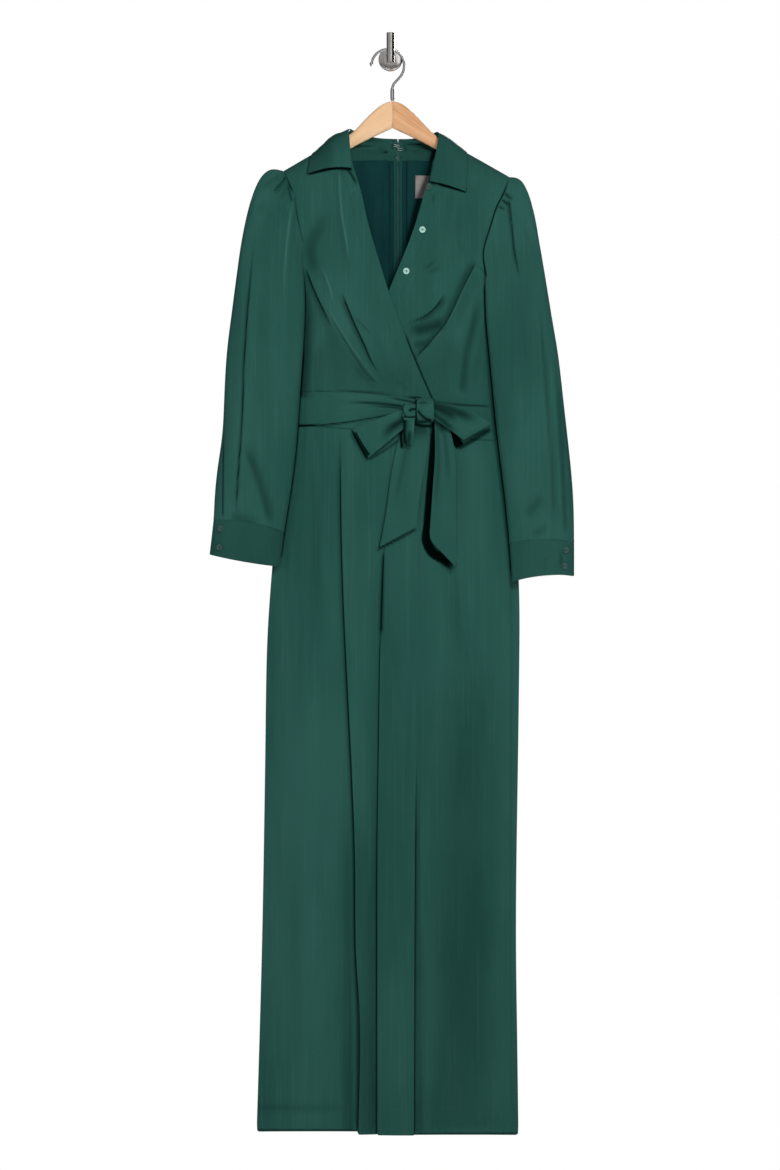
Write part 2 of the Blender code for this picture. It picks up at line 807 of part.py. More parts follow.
def clear_of_shoulder(x, y, drop, above=0.0):
    """Points pushed out of the cloth below the neckline, or from ABOVE it: up near the shoulder's
    ridge, and to the front or the back elsewhere."""
    middle = hanger_y(x)
    face = np.where(y < middle, FRONT, BACK)
    left, right = BODY.at("left", drop), BODY.at("right", drop)
    across = lens((2 * x - left - right) / (right - left))
    depth = np.where(face == FRONT, BODY["front"][0], BODY["back"][0]) * across
    reach = np.minimum(abs(y - middle) / depth, 0.97)
    fall = ROUND_SHOULDER * (1 - np.sqrt(1 - reach**2))
    steepness = ROUND_SHOULDER / depth * reach / np.sqrt(1 - reach**2)
    highest = RIDGE.at("drop", x) + fall - COLLAR_CLEARANCE * np.hypot(1, steepness)
    front = np.minimum(y, body_y(FRONT, x, drop) - COLLAR_CLEARANCE)
    back = np.maximum(y, body_y(BACK, x, drop) + COLLAR_CLEARANCE)
    pushed = np.where(face == FRONT, front, back)
    near_ridge = reach < NEAR_RIDGE
    neckline = NECK_DROP - NECK_RISE * ((x - HANGER_X) / NECK_WIDTH) ** 2
    covered = drop > neckline - above
    drop = np.where(covered & near_ridge, np.minimum(drop, highest), drop)
    return np.where(covered & ~near_ridge, pushed, y), drop


def neck_seam(face, x, drop):
    """Y of the neckline, where the face is 0 on the shoulder's ridge."""
    y = body_y(int(face), np.array([x]), np.array([drop]))[0] if face else hanger_y(x)
    return float(y)


def make_collar(side):
    shares = np.linspace(0, 1, COLLAR_ROWS)
    row = COLLAR[side].walk(shares)
    roll, edge = row[:, None, :3], row[:, None, 3:]
    middle = (roll + edge) / 2
    outwards = smoothstep(-14, 14, middle[..., 1] - hanger_y(middle[..., 0]))
    middle[..., 1] += COLLAR_BOW * (2 * outwards - 1)
    middle[..., 2] -= COLLAR_BOW * 4 * outwards * (1 - outwards)
    y, drop = clear_of_shoulder(*np.moveaxis(middle, -1, 0), above=NECK_DROP - NECK_RISE)
    middle[..., 1], middle[..., 2] = y, drop
    across = np.linspace(0, 1, COLLAR_COLUMNS)[None, :, None]
    leaf = roll * (1 - across) * (1 - 2 * across) + middle * 4 * across * (1 - across)
    leaf = leaf + edge * across * (2 * across - 1)
    leaf[..., 2] -= (shares[:, None] ** 6) * COLLAR_END_DIP[side] * np.sin(math.pi * across[..., 0])
    x = leaf[..., 0]
    y, drop = clear_of_shoulder(*np.moveaxis(leaf, -1, 0), above=NECK_HEM)
    wall("collar_fall_" + SIDES[side], in_space(x, y, drop), SATIN)

    stations = STAND[side]
    seam = np.array([(x, neck_seam(face, x, drop), drop) for face, x, drop in stations.rows[:, :3]])
    roll = stations.rows[:, 3:] + (0, 0, STAND_BELOW_ROLL)
    row = Table("seam_x seam_y seam_drop roll_x roll_y roll_drop", *np.hstack([seam, roll]))
    row = row.walk(np.linspace(0, 1, 9))
    band = strip(row[:, :3], row[:, 3:], 3)
    wall("collar_stand_" + SIDES[side], in_space(*np.moveaxis(band, -1, 0)), SATIN)


# ---------------------------------------------------------------- sleeves and cuffs

SLEEVE = {
    LEFT: Table(
        "outer_drop outer_x inner_drop inner_x outer_y inner_y depth bow",
        (385, -238, 385, -129, -78, -87, 11, 0),
        (430, -244.5, 430, -131, -78, -87, 12, 0),
        (500, -249, 497, -136, -78, -86, 12.5, 0),
        (563, -251, 562, -140, -78, -85, 12.5, 0),
        (625, -261, 630, -147, -77, -84, 12, 0),
        (664, -264, 678, -155, -76, -83, 11, -3),
        (693, -265, 711, -160, -76, -81, 8.5, -6),
    ),
    RIGHT: Table(
        "outer_drop outer_x inner_drop inner_x outer_y inner_y depth bow",
        (392, 242, 395, 144, -78, -87, 11, 0),
        (440, 251, 440, 148.5, -78, -87, 12, 0),
        (510, 258.5, 505, 154.5, -78, -86, 12.5, 0),
        (570, 265.5, 570, 161, -78, -85, 12.5, 0),
        (643, 273, 640, 170, -77, -84, 12, 0),
        (690, 275, 690, 175.5, -76, -83, 11, -3),
        (727, 275, 728, 179, -76, -81, 8.5, -6),
    ),
}
CUFF = {
    LEFT: Table(
        "outer_drop outer_x inner_drop inner_x outer_y inner_y depth bow",
        (693, -265, 711, -160, -76, -81, 8.5, -6),
        (720, -268, 737, -163.5, -76, -81, 8.5, -2),
        (745, -271, 763, -167, -76, -81, 8.5, 2),
    ),
    RIGHT: Table(
        "outer_drop outer_x inner_drop inner_x outer_y inner_y depth bow",
        (727, 275, 728, 179, -76, -81, 8.5, -6),
        (752, 275, 757, 181, -76, -81, 8.5, -5.5),
        (777, 275, 786, 183, -76, -81, 8.5, -5),
    ),
}
SLEEVE_FOLDS = {
    LEFT: (
        fold(6.0, 20, 9, (-206, 284), (-213, 391), (-218, 471), (-220, 540), (-229, 680)),
        fold(4.0, 10, 12, (-244, 552), (-246, 685)),
        fold(4.5, 12, 16, (-218, 560), (-182, 700)),
        fold(4.5, 12, 16, (-148, 215), (-157, 310), (-160, 380)),
        fold(4.0, 12, 18, (-175, 400), (-178, 690)),
    ),
    RIGHT: (
        fold(5.5, 18, 9, (184, 222), (190, 290), (197, 345)),
        fold(5.0, 18, 9, (226, 470), (236, 690)),
        fold(4.0, 10, 10, (248, 483), (258, 712)),
        fold(4.5, 14, 16, (176, 400), (200, 700)),
    ),
}
SLEEVE_PLEATS = {LEFT: 3, RIGHT: 4}  # gathered into the armhole over the shoulder
PLEAT_HEIGHT = 4.5
PLEATED_SHARE = 0.22  # of the armhole, each way from the shoulder
PLEAT_CROWDING = 2.2
PUFF = {  # where the cap's curve leaves the shoulder, and where it comes down to the first ring
    LEFT: ((-39, 0, 22), (16, 0, 155)),
    RIGHT: ((30, 0, 6), (-23, 0, 150)),
}
CAP_ROWS = 6
RING_ROWS = 8
UNDERARM_LIFT = 4.0  # clears the corner where the side seam meets the armhole
UNDERARM_OUT = 12.0  # and this takes the sleeve round the side seam below it
CORNER_OUT, CORNER_DOWN = 4.0, 2.0
# Columns of the sleeve by their share of the armhole's length, front first, and their turn round a ring.
SLEEVE_GUIDES = Table(
    "share turn puff",
    (0.00, 0, 1.0),
    (0.06, 22, 0.80),
    (0.14, 68, 0.40),
    (0.30, 180, 0.12),
    (0.40, 222, 0.05),
    (0.50, 262, 0.05),
    (0.62, 290, 0.10),
    (0.85, 325, 0.40),
    (0.94, 342, 0.80),
    (1.00, 360, 1.0),
)
COLUMN_GUIDES = (2, 3, 6, 2, 2, 3, 3, 2, 2)  # columns between the rows of SLEEVE_GUIDES


def ring_points(table, share, turns, shrink=0.0):
    """A flattened ring of a sleeve or cuff at SHARE of its length. Turn 0 is its outer edge."""
    row = dict(zip(table.names, table.walk(np.array([share]))[0]))
    cos, sin = np.cos(np.radians(turns)), np.sin(np.radians(turns))
    across = np.sign(cos) * abs(cos) ** 0.9
    through = np.sign(sin) * abs(sin) ** 0.8
    outward = (1 + across) / 2
    half = abs(row["outer_x"] - row["inner_x"]) / 2
    outward = 0.5 + (outward - 0.5) * (1 - shrink / half)
    x = mix(row["inner_x"], row["outer_x"], outward)
    drop = mix(row["inner_drop"], row["outer_drop"], outward) + row["bow"] * sin**2
    y = mix(row["inner_y"], row["outer_y"], outward) - (row["depth"] - shrink) * through
    return x, y, drop


def sleeve_columns():
    guides = SLEEVE_GUIDES
    shares = []
    for number, count in enumerate(COLUMN_GUIDES):
        low, high = guides["share"][number : number + 2]
        shares += np.linspace(low, high, count, endpoint=False).tolist()
    shares = np.array(shares)
    return shares, guides.at("turn", shares), guides.at("puff", shares)


def armhole_ring(side, shares):
    """The sleeve's first ring, just outside the armhole's edge: down its front and up its back."""
    points = []
    for share in shares:
        face = FRONT if share <= 0.5 else BACK
        along = min(share, 1 - share) * 2
        x, drop = ARMHOLE[face, side].walk(np.array([max(along, 0.004)]))[0]
        spot = np.array(x), np.array(drop)
        lift = LAYER + 0.4 + UNDERARM_LIFT * math.exp(-(((share - 0.5) / 0.06) ** 2))
        point = moved_out(face, *spot, lift, lambda at_x, at: bodice_y(face, side, at_x, at))
        corner = math.exp(-(((share - 0.51) / 0.04) ** 2))
        points.append(point + np.array((side * CORNER_OUT, 0, -CORNER_DOWN)) * corner)
    return np.array(points)


def make_sleeve(side):
    shares, turns, puff = sleeve_columns()
    start = armhole_ring(side, shares)
    first = in_space(*ring_points(SLEEVE[side], 0, turns))
    leave, arrive = (np.array(offset) for offset in PUFF[side])
    height = (start[:, 2] - first[:, 2])[:, None]
    down = np.array([0, 0, 1.0])
    outwards = np.exp(-(((shares - 0.56) / 0.06) ** 2))[:, None] * (side * UNDERARM_OUT, 0, 0)
    leaving = start + puff[:, None] * leave - (1 - puff[:, None]) * 0.25 * height * down + outwards
    arriving = first + puff[:, None] * arrive + (1 - puff[:, None]) * 0.40 * height * down + outwards
    pleat_turn = np.where(shares > 0.5, shares - 1, shares)
    pleats = np.cos(pleat_turn * math.tau * SLEEVE_PLEATS[side] * PLEAT_CROWDING)
    pleats *= smoothstep(PLEATED_SHARE, PLEATED_SHARE / 2, abs(pleat_turn))
    rows = []
    for part in np.linspace(0, 1, CAP_ROWS, endpoint=False):
        rest = 1 - part
        row = rest**3 * start + 3 * rest**2 * part * leaving
        row = row + 3 * rest * part**2 * arriving + part**3 * first
        swell = PLEAT_HEIGHT * math.sin(math.pi * min(part * 1.3, 1)) * pleats
        row[:, 2] += swell * abs(np.cos(np.radians(turns / 2)))
        row[:, 1] -= swell * np.sin(np.radians(turns))
        rows.append(row)
    for share in np.linspace(0, 1, RING_ROWS):
        rows.append(in_space(*ring_points(SLEEVE[side], share, turns)))
    grid = np.array(rows)
    on_front = smoothstep(0, 0.35, np.sin(np.radians(turns)))[None, :]
    grid[1:, :, 1] -= (lift_of(SLEEVE_FOLDS[side], grid[..., 0], -grid[..., 2]) * on_front)[1:]
    wall("sleeve_" + SIDES[side], trimmed(grid, ring=True), SATIN, ring=True)


LAP_TURN = 42  # how far the cuff's under end runs on inside its over end
LAP_STEP = LAYER + 0.3


def cuff_lap(turns):
    """How far the cuff's cloth is drawn in towards its under end."""
    return LAP_STEP * smoothstep(305, 352, turns)


def make_cuff(side):
    turns = np.linspace(2, 360 + LAP_TURN, 26)
    rows = []
    for share in np.linspace(0, 1, 3):
        x, y, drop = ring_points(CUFF[side], share, turns, cuff_lap(turns))
        rows.append(in_space(x, y, drop))
    wall("cuff_" + SIDES[side], trimmed(np.array(rows)), SATIN)


# ---------------------------------------------------------------- waistband, sash and bow


def band_grid(face, x, rows, moved=0.0):
    """Waistband points by column, from its top edge to its bottom edge."""
    down = np.linspace(0, WAISTBAND_HEIGHT, rows)[:, None]
    drop = waist(x)[None, :] + down
    x = np.broadcast_to(x[None, :], drop.shape)
    return in_space(x, body_y(face, x, drop) + face * moved, drop)


def waist_sides():
    return BODY.at("left", waist(-155)), BODY.at("right", waist(169))


def make_waistband():
    left, right = waist_sides()
    front = band_grid(FRONT, np.linspace(left, right, 20), 3)
    wall("waistband_front", trimmed(front), SATIN)
    zip_x = CENTRE_BACK["x"][0]
    for side, outer in ((LEFT, left), (RIGHT, right)):
        x = np.linspace(outer, zip_x + side * ZIP_SLIT, 10)
        wall("waistband_back_" + SIDES[side], trimmed(band_grid(BACK, x, 3)), SATIN)


SASH = Table(  # from the left side seam to the knot
    "x top bottom",
    (-154, 499.5, 552),
    (-135, 501, 553),
    (-100, 501, 549),
    (-51, 502, 543),
    (-20, 505, 538),
    (10, 509, 534),
    (50, 514, 540),
)
SASH_THICKNESS = 1.6
SASH_WAVE = 1.0
SASH_SLACK = 0.4
SASH_MOVED = CLOTH / 2 + GAP + SASH_THICKNESS / 2


def make_sash():
    x = np.linspace(SASH["x"][0], SASH["x"][-1], 16)
    across = np.linspace(0, 1, 5)[:, None]
    drop = mix(SASH.at("top", x)[None], SASH.at("bottom", x)[None], across)
    x = np.broadcast_to(x, drop.shape)
    wave = SASH_WAVE * (1 - np.cos(across * math.tau * 2)) / 2 * smoothstep(-150, -60, x)
    pleats = lift_of(BODICE_FOLDS[FRONT, LEFT], x, np.minimum(drop, waist(x)))
    under = pleats * smoothstep(25, 0, drop - waist(x))
    y = body_y(FRONT, x, drop) - SASH_MOVED - SASH_SLACK - under - wave
    wall("sash", in_space(x, y, drop), SATIN, SASH_THICKNESS)


@dataclass(frozen=True)
class Wrap:
    """Cloth that bulges to the front over a level tube, open at its ends and behind."""

    left: float
    right: float
    top: float
    bottom: float
    back_y: float
    front_y: float


KNOT = Wrap(left=38, right=65, top=510.6, bottom=546, back_y=-77.3, front_y=-99.5)
ROLL = Wrap(left=18, right=37.2, top=519.6, bottom=538.4, back_y=-97, front_y=-103)


WRAP_ROUND = 0.05  # share of the depth that is lost towards the ends


def make_wrap(name, form, rows, columns, pinch):
    angle = np.linspace(0, math.pi, rows)[:, None]
    across = np.linspace(-1, 1, columns)[None, :]
    middle = (form.top + form.bottom) / 2
    tall = (form.bottom - form.top) / 2 * (1 - pinch * (1 - across**2))
    deep = (form.back_y - form.front_y) * (1 - WRAP_ROUND * across**2)
    x = mix(form.left, form.right, (across + 1) / 2)
    y = form.back_y - deep * np.sin(angle) ** 0.5
    drop = middle - tall * np.cos(angle)
    wall(name, in_space(x, y, drop), SATIN)


@dataclass(frozen=True)
class Loop:
    """A strip of cloth that leaves the knot, turns over at its end and comes back behind."""

    root_top: tuple
    root_bottom: tuple
    end_top: tuple
    end_bottom: tuple
    y: float
    belly: float  # how far the front layer swells out
    ripple: float
    crown: float  # how far the top edge curves up


LOOPS = {
    "bow_loop_left": Loop((50, 518), (50, 531), (-57, 557), (-33, 600), -89, 7, 2.0, 2.0),
    "bow_loop_right": Loop((52.5, 517), (52.5, 532), (151, 549), (110, 573), -89, 7, 2.0, 11.0),
    "bow_loop_small": Loop((20, 539.7), (36.5, 540.2), (19, 577), (34, 581), -99.8, 1.2, 0.3, 0.0),
}
LOOP_ROOT = 3.4  # half of the distance between the two layers at the root
LOOP_END = 0.85


def make_loop(name, form, rows, columns):
    """The path turns from 0 at the root's front, through 180 at the end, to 360 behind."""
    turn = np.radians(np.linspace(0, 360, rows))[:, None]
    across = np.linspace(0, 1, columns)[None, :]
    reach = np.sin(turn / 2) ** 2
    corners = [np.array(corner, float) for corner in
               (form.root_top, form.root_bottom, form.end_top, form.end_bottom)]
    root = mix(corners[0], corners[1], across[..., None])
    end = mix(corners[2], corners[3], across[..., None])
    flat = mix(root, end, reach[..., None])
    ripple = form.ripple * np.cos(across * math.tau * 1.5) * smoothstep(0, 0.25, reach) * (1 - reach)
    swell = form.belly * np.maximum(np.sin(turn), 0) * smoothstep(0, 0.5, reach)
    seat = mix(min(LOOP_ROOT, form.belly), LOOP_END, smoothstep(0, 0.6, reach))
    y = form.y - seat * np.cos(turn / 2) - swell - ripple
    crown = form.crown * np.sin(math.pi * reach) * (1 - across)
    wall(name, in_space(flat[..., 0], y, flat[..., 1] - crown), SATIN)


TAILS = {
    LEFT: Table(
        "left_x left_drop right_x right_drop y",
        (25, 547, 58, 546.8, -82.5),
        (13, 570, 57, 570, -83),
        (5, 603, 54, 603, -84.5),
        (0, 633, 48, 633, -85.5),
        (-6, 680, 43, 665, -85.5),
        (-16, 733, 39, 704, -85),
    ),
    RIGHT: Table(
        "left_x left_drop right_x right_drop y",
        (65.7, 530, 80, 530, -82.2),
        (66.5, 560, 90, 560, -84.5),
        (67, 592, 97, 592, -90),
        (64, 637, 99, 645, -95),
        (61, 680, 99, 705, -97),
        (58, 722, 98, 764, -98),
    ),
}
TAIL_THICKNESS = 1.4
TAIL_ROUND = {LEFT: 2.5, RIGHT: 3.5}  # how far the strip's middle stands in front of its edges


def make_tail(side):
    row = TAILS[side].walk(np.linspace(0, 1, 11))
    across = np.linspace(0, 1, 5)
    x = mix(row[:, :1], row[:, 2:3], across)
    drop = mix(row[:, 1:2], row[:, 3:4], across)
    hanging = smoothstep(0, 0.3, np.linspace(0, 1, 11))[:, None]
    y = row[:, 4:] - TAIL_ROUND[side] * np.sin(math.pi * across)[None] * hanging
    wall("bow_tail_" + SIDES[side], in_space(x, y, drop), SATIN, TAIL_THICKNESS)


# ---------------------------------------------------------------- legs

HEM = {LEFT: (1607.0, 1615.0), RIGHT: (1612.0, 1616.0)}  # drop outside the crease and inside it
LEG_ROWS = 15
LEG_COLUMNS = {LEFT: (8, 1, 4), RIGHT: (9, 1, 4)}  # outside the crease, on it and inside it
BACK_LEG_ROWS, BACK_LEG_COLUMNS = 14, 9
BACK_HEM = {LEFT: 1611.0, RIGHT: 1616.0}


def leg_drops(rows):
    """Shares of the leg's length, closer together round the crotch."""
    shares = np.linspace(0, 1, rows)
    return shares**1.15


def make_leg_front(side):
    shares = leg_drops(LEG_ROWS)
    outer_hem, inner_hem = HEM[side]
    rows = []
    for share in shares:
        level = mix(hip(0), inner_hem, share)
        outer, inner = leg_edges(side, level)
        crease = CREASES[side].at("x", level)
        counts = LEG_COLUMNS[side]
        foot = crease + side * CREASE_WIDTH
        x = np.concatenate([
            np.linspace(outer, foot, counts[0], endpoint=False),
            np.linspace(foot, crease, counts[1], endpoint=False),
            np.linspace(crease, inner, counts[2] + 1),
        ])
        past = np.clip((crease - x) * side / CREASE_WIDTH + 1, 0, 1)
        drop = mix(hip(x), mix(outer_hem, inner_hem, past), share)
        y = trouser_y(FRONT, side, x, drop) - crease_lift(side, x, drop) * smoothstep(0, 0.04, share)
        y = y - lift_of(TROUSER_FOLDS[FRONT, side], x, drop) * smoothstep(0, 0.06, share)
        rows.append(in_space(x, y, drop))
    wall("leg_front_" + SIDES[side], trimmed(np.array(rows)), SATIN)


def make_leg_back(side):
    rows = []
    for share in leg_drops(BACK_LEG_ROWS):
        level = mix(hip(0), BACK_HEM[side], share)
        outer, inner = leg_edges(side, level)
        seam = CENTRE_BACK.at("x", level) + side * ZIP_SLIT
        inner = mix(seam, inner, smoothstep(CROTCH_START, CROTCH_END, level))
        x = np.linspace(outer, inner, BACK_LEG_COLUMNS)
        drop = mix(hip(x), BACK_HEM[side], share)
        y = trouser_y(BACK, side, x, drop)
        y = y + lift_of(TROUSER_FOLDS[BACK, side], x, drop) * smoothstep(0, 0.06, share)
        rows.append(in_space(x, y, drop))
    wall("leg_back_" + SIDES[side], trimmed(np.array(rows)), SATIN)


# ---------------------------------------------------------------- buttons

BUTTON_RADIUS = 4.9
BUTTON_PROFILE = ((4.7, 0.0), (4.9, 1.6), (3.9, 1.6), (3.2, 1.0))  # radius, height
BUTTON_SIDES = 12
FRONT_BUTTONS = Table("x drop", (57.3, 193.5), (47.9, 257.7), (23.7, 319.8))
CUFF_BUTTONS = {
    LEFT: Table("x drop", (-254.7, 706), (-256.5, 734)),
    RIGHT: Table("x drop", (263, 738), (261, 762)),
}


def make_button(name, x, y, drop, finish, lean_x=0.0):
    """A button whose back is at Y. LEAN_X turns its face to that side."""
    axis = np.array([lean_x, -1, 0]) / math.hypot(lean_x, 1)
    rings = turned_rings(BUTTON_PROFILE, (x, y, -drop), axis, (0, 0, 1), BUTTON_SIDES)
    loft(name, rings, finish, sharp_degrees=30)


def make_buttons():
    for number, (x, drop) in enumerate(FRONT_BUTTONS.rows, 1):
        rim = x + np.array([-BUTTON_RADIUS, 0, BUTTON_RADIUS])
        y = bodice_y(FRONT, RIGHT, rim, np.full(3, drop)).min() - CLOTH / 2 - GAP
        finish = DARK_BUTTON if number == 1 else MINT
        make_button(f"front_button_{number}", x, y, drop, finish)
    for side, places in CUFF_BUTTONS.items():
        turns = np.linspace(5, 175, 120)
        for number, (x, drop) in enumerate(places.rows, 1):
            top = CUFF[side]["outer_drop"][0]
            share = (drop - top) / (CUFF[side]["outer_drop"][-1] - top)
            ring_x, ring_y, _ = ring_points(CUFF[side], share, turns)
            near = abs(ring_x - x) < BUTTON_RADIUS
            lean = np.polyfit(ring_x[near], ring_y[near], 1)[0]
            centre_y = np.interp(-side * x, -side * ring_x, ring_y)
            make_button(f"cuff_button_{SIDES[side]}_{number}", x, centre_y - CLOTH / 2 - 0.9,
                        drop, DARK_BUTTON, lean)


# ---------------------------------------------------------------- back fastening

SLIDER_TOP = 151.5
SLIDER_SIZE = (7.4, 2.6, 9.0)  # across, out from the cloth, down
EAR_SIZE = (1.1, 2.8, 3.4)
PIN_RADIUS = 1.0
TAB_WIDTH, TAB_LENGTH, TAB_THICKNESS = 4.4, 20.0, 1.2


def slider_face():
    """Y of the slider's outer face, and the height of the pull tab's axis."""
    x = CENTRE_BACK["x"][:1]
    cloth = body_y(BACK, x, np.array([SLIDER_TOP])).max() + CLOTH / 2 + GAP
    return cloth, cloth + SLIDER_SIZE[1]


def union(target, tool):
    """Joins TOOL to TARGET and leaves it out of the object."""
    joint = target.modifiers.new("join " + tool.name, "BOOLEAN")
    joint.operation = "UNION"
    joint.solver = "EXACT"
    joint.object = tool
    tool.hide_render = True
    tool.display_type = "WIRE"


def make_zip_slider():
    """The slider, with two ears that hold the pull tab's pin."""
    x = CENTRE_BACK["x"][0]
    inner, outer = slider_face()
    width, _, height = SLIDER_SIZE
    top = -SLIDER_TOP
    low, high = (x - width / 2, inner, top - height), (x + width / 2, outer, top)
    slider = box_mesh("zip_slider", low, high, SILVER)
    for side in (LEFT, RIGHT):
        middle = x + side * (width - EAR_SIZE[0]) / 2
        low = (middle - EAR_SIZE[0] / 2, outer - 1, top - 2 - EAR_SIZE[2])
        high = (middle + EAR_SIZE[0] / 2, outer + EAR_SIZE[1], top - 2)
        union(slider, box_mesh(f"ear_{SIDES[side]}", low, high, SILVER))


def make_pull_tab():
    """The tab hangs from its pin. Its origin is on the pin's axis."""
    x = CENTRE_BACK["x"][0]
    axis_y = slider_face()[1] + GAP + PIN_RADIUS
    axis_drop = SLIDER_TOP + 2 + EAR_SIZE[2] / 2
    barrel = ((PIN_RADIUS, 0), (PIN_RADIUS, TAB_WIDTH))
    rings = turned_rings(barrel, (-TAB_WIDTH / 2, 0, 0), (1, 0, 0), (0, 1, 0), 12)
    tab = loft("zip_pull_tab", rings, SILVER)
    half = TAB_THICKNESS / 2
    outline = [(-1.6, 0), (-2.2, -6), (-2.2, -TAB_LENGTH + 2), (-1.2, -TAB_LENGTH),
               (1.2, -TAB_LENGTH), (2.2, -TAB_LENGTH + 2), (2.2, -6), (1.6, 0)]
    plate = loft("tab_plate", [[(at, y, z) for at, z in outline] for y in (-half, half)], SILVER)
    place = (x * MM, axis_y * MM, -axis_drop * MM)
    tab.location = place
    plate.location = place
    union(tab, plate)


HOOK_WIRE = 0.45
HOOK_AND_EYE = {  # a hairpin of wire each, by its open end and its bend
    "neck_hook": ((4.5, 130.0), (12.4, 131.6), 1.3),
    "neck_eye": ((18.0, 136.0), (12.9, 136.6), 1.6),
}


def wire(name, points, radius, finish, resolution=2, radii=None):
    """A round wire along a line of points, with closed ends."""
    curve = bpy.data.curves.new(name, "CURVE")
    curve.dimensions = "3D"
    curve.bevel_depth = radius * MM
    curve.bevel_resolution = resolution
    curve.use_fill_caps = True
    line = curve.splines.new("POLY")
    line.points.add(len(points) - 1)
    for number, point in enumerate(points):
        line.points[number].co = (*(np.asarray(point) * MM), 1)
        line.points[number].radius = 1 if radii is None else radii[number] / radius
    return add_object(name, curve, finish)


def make_hook_and_eye():
    for name, (open_end, bend, half) in HOOK_AND_EYE.items():
        start, end = np.array(open_end), np.array(bend)
        along = (end - start) / np.linalg.norm(end - start)
        across = np.array([-along[1], along[0]])
        turns = np.radians(np.linspace(-90, 90, 6))
        bent = [end + half * (np.cos(turn) * along + np.sin(turn) * across) for turn in turns]
        flat = [start - half * across, *bent, start + half * across]
        points = [(x, stand_inside(drop), -drop) for x, drop in flat]
        wire(name, points, HOOK_WIRE, SILVER, resolution=1)


def stand_inside(drop):
    """Y just inside the collar stands at the centre back, which lean to the front."""
    face, x, low, _, roll_y, high = STAND[LEFT].rows[0]
    seam_y = neck_seam(face, x, low)
    share = (drop - low) / (high + STAND_BELOW_ROLL - low)
    lean = (seam_y - roll_y) / (high + STAND_BELOW_ROLL - low)
    return mix(seam_y, roll_y, share) - (CLOTH / 2 + GAP + HOOK_WIRE + 0.15) * math.hypot(1, lean)


# ---------------------------------------------------------------- hanger and wall hook

ARM = Table(  # by distance from the hanger's centre
    "reach top bottom thick",
    (0, 63.0, 105.0, 12.5),
    (10, 65.2, 109.7, 12.5),
    (20, 70.4, 114.5, 12.5),
    (39, 87.8, 123.5, 12.0),
    (55, 106.5, 131.5, 10.5),
    (63, 112.5, 136.0, 9.0),
    (69, 117.5, 139.0, 8.0),
    (90, 0, 151.0, 7.5),
    (120, 0, 167.0, 7.0),
    (145, 0, 179.5, 6.5),
    (158, 0, 182.5, 6.0),
)
NECK_REACH = 66.0  # beyond this the arm carries the cloth
ARM_SEAT = 0.3
ARM_SIDES = 12
ARM_REACH = {LEFT: 156.0, RIGHT: 160.0}
MITRE_GAP = 0.15


def arm_top(side, reach):
    x = HANGER_X + side * reach
    carried = RIDGE.at("drop", x) + LAYER - CLOTH / 2 + ARM_SEAT
    shown = ARM.at("top", np.minimum(reach, 69))
    return np.where(reach > NECK_REACH, carried, np.minimum(shown, 400))


def make_hanger_arm(side):
    reach = np.concatenate([ARM["reach"][:-1], [ARM_REACH[side]]])
    reach[0] = MITRE_GAP
    rings = []
    turns = (np.arange(ARM_SIDES) + 0.5) / ARM_SIDES * math.tau
    for number, distance in enumerate(reach):
        top, bottom = float(arm_top(side, distance)), float(ARM.at("bottom", distance))
        thick = float(ARM.at("thick", distance))
        if number == len(reach) - 1:
            top, bottom, thick = top + 4, bottom - 3, thick - 3
        x = HANGER_X + side * distance
        across, up = np.cos(turns), np.sin(turns)
        square = smoothstep(NECK_REACH - 8, NECK_REACH - 30, distance)
        y = hanger_y(x) + thick / 2 * np.sign(across) * abs(across) ** mix(1.0, 0.55, square)
        tall = (bottom - top) / 2
        drop = (top + bottom) / 2 - tall * np.sign(up) * abs(up) ** mix(1.0, 0.8, square)
        rings.append(in_space(x, y, drop))
    loft("hanger_arm_" + SIDES[side], rings, LIGHT_WOOD if side == LEFT else WARM_WOOD, 50)


PLATE_RADIUS, PLATE_THICKNESS = 18.0, 5.0
PEG_RADIUS, PEG_TOP, PEG_BOTTOM = 6.0, 39.0, -6.6
PEG_Y = HANG_Y - 18.0
STEM_RADIUS = 5.5
HOOK_RADIUS = 24.75
HOOK_CENTRE = (-4.0, -10.5)
HOOK_WIRE_RADIUS = 1.9
HOOK_TIP_RADIUS = 3.1
HOOK_TIP_TURN = 175.0
FERRULE_RADIUS = 3.25
FERRULE_TOP = -44.5
FERRULE_INTO_DIP = 0.2  # the rounded wood's top lies a little lower


def stem_height():
    """The stem's centre, so that the hanger's wire rests on its top."""
    inside = HOOK_RADIUS - HOOK_WIRE_RADIUS - GAP
    return HOOK_CENTRE[1] + math.sqrt(inside**2 - HOOK_CENTRE[0] ** 2) - STEM_RADIUS


def make_wall_hook():
    plate = ((PLATE_RADIUS, 0), (PLATE_RADIUS, 3.6), (PLATE_RADIUS - 1.4, PLATE_THICKNESS))
    rings = turned_rings(plate, (0, 0, 0), (0, -1, 0), (0, 0, 1), 28)
    loft("wall_plate", rings, STEEL, sharp_degrees=30)

    peg = ((PEG_RADIUS - 0.8, PEG_BOTTOM), (PEG_RADIUS, PEG_BOTTOM + 0.8),
           (PEG_RADIUS, PEG_TOP - 0.8), (PEG_RADIUS - 0.8, PEG_TOP))
    rings = turned_rings(peg, (0, PEG_Y, 0), (0, 0, 1), (1, 0, 0), 20)
    post = loft("wall_peg", rings, STEEL, sharp_degrees=30)
    stem = ((STEM_RADIUS, PLATE_THICKNESS + GAP), (STEM_RADIUS, -PEG_Y))
    rings = turned_rings(stem, (0, 0, stem_height()), (0, -1, 0), (0, 0, 1), 16)
    union(post, loft("wall_stem", rings, STEEL))


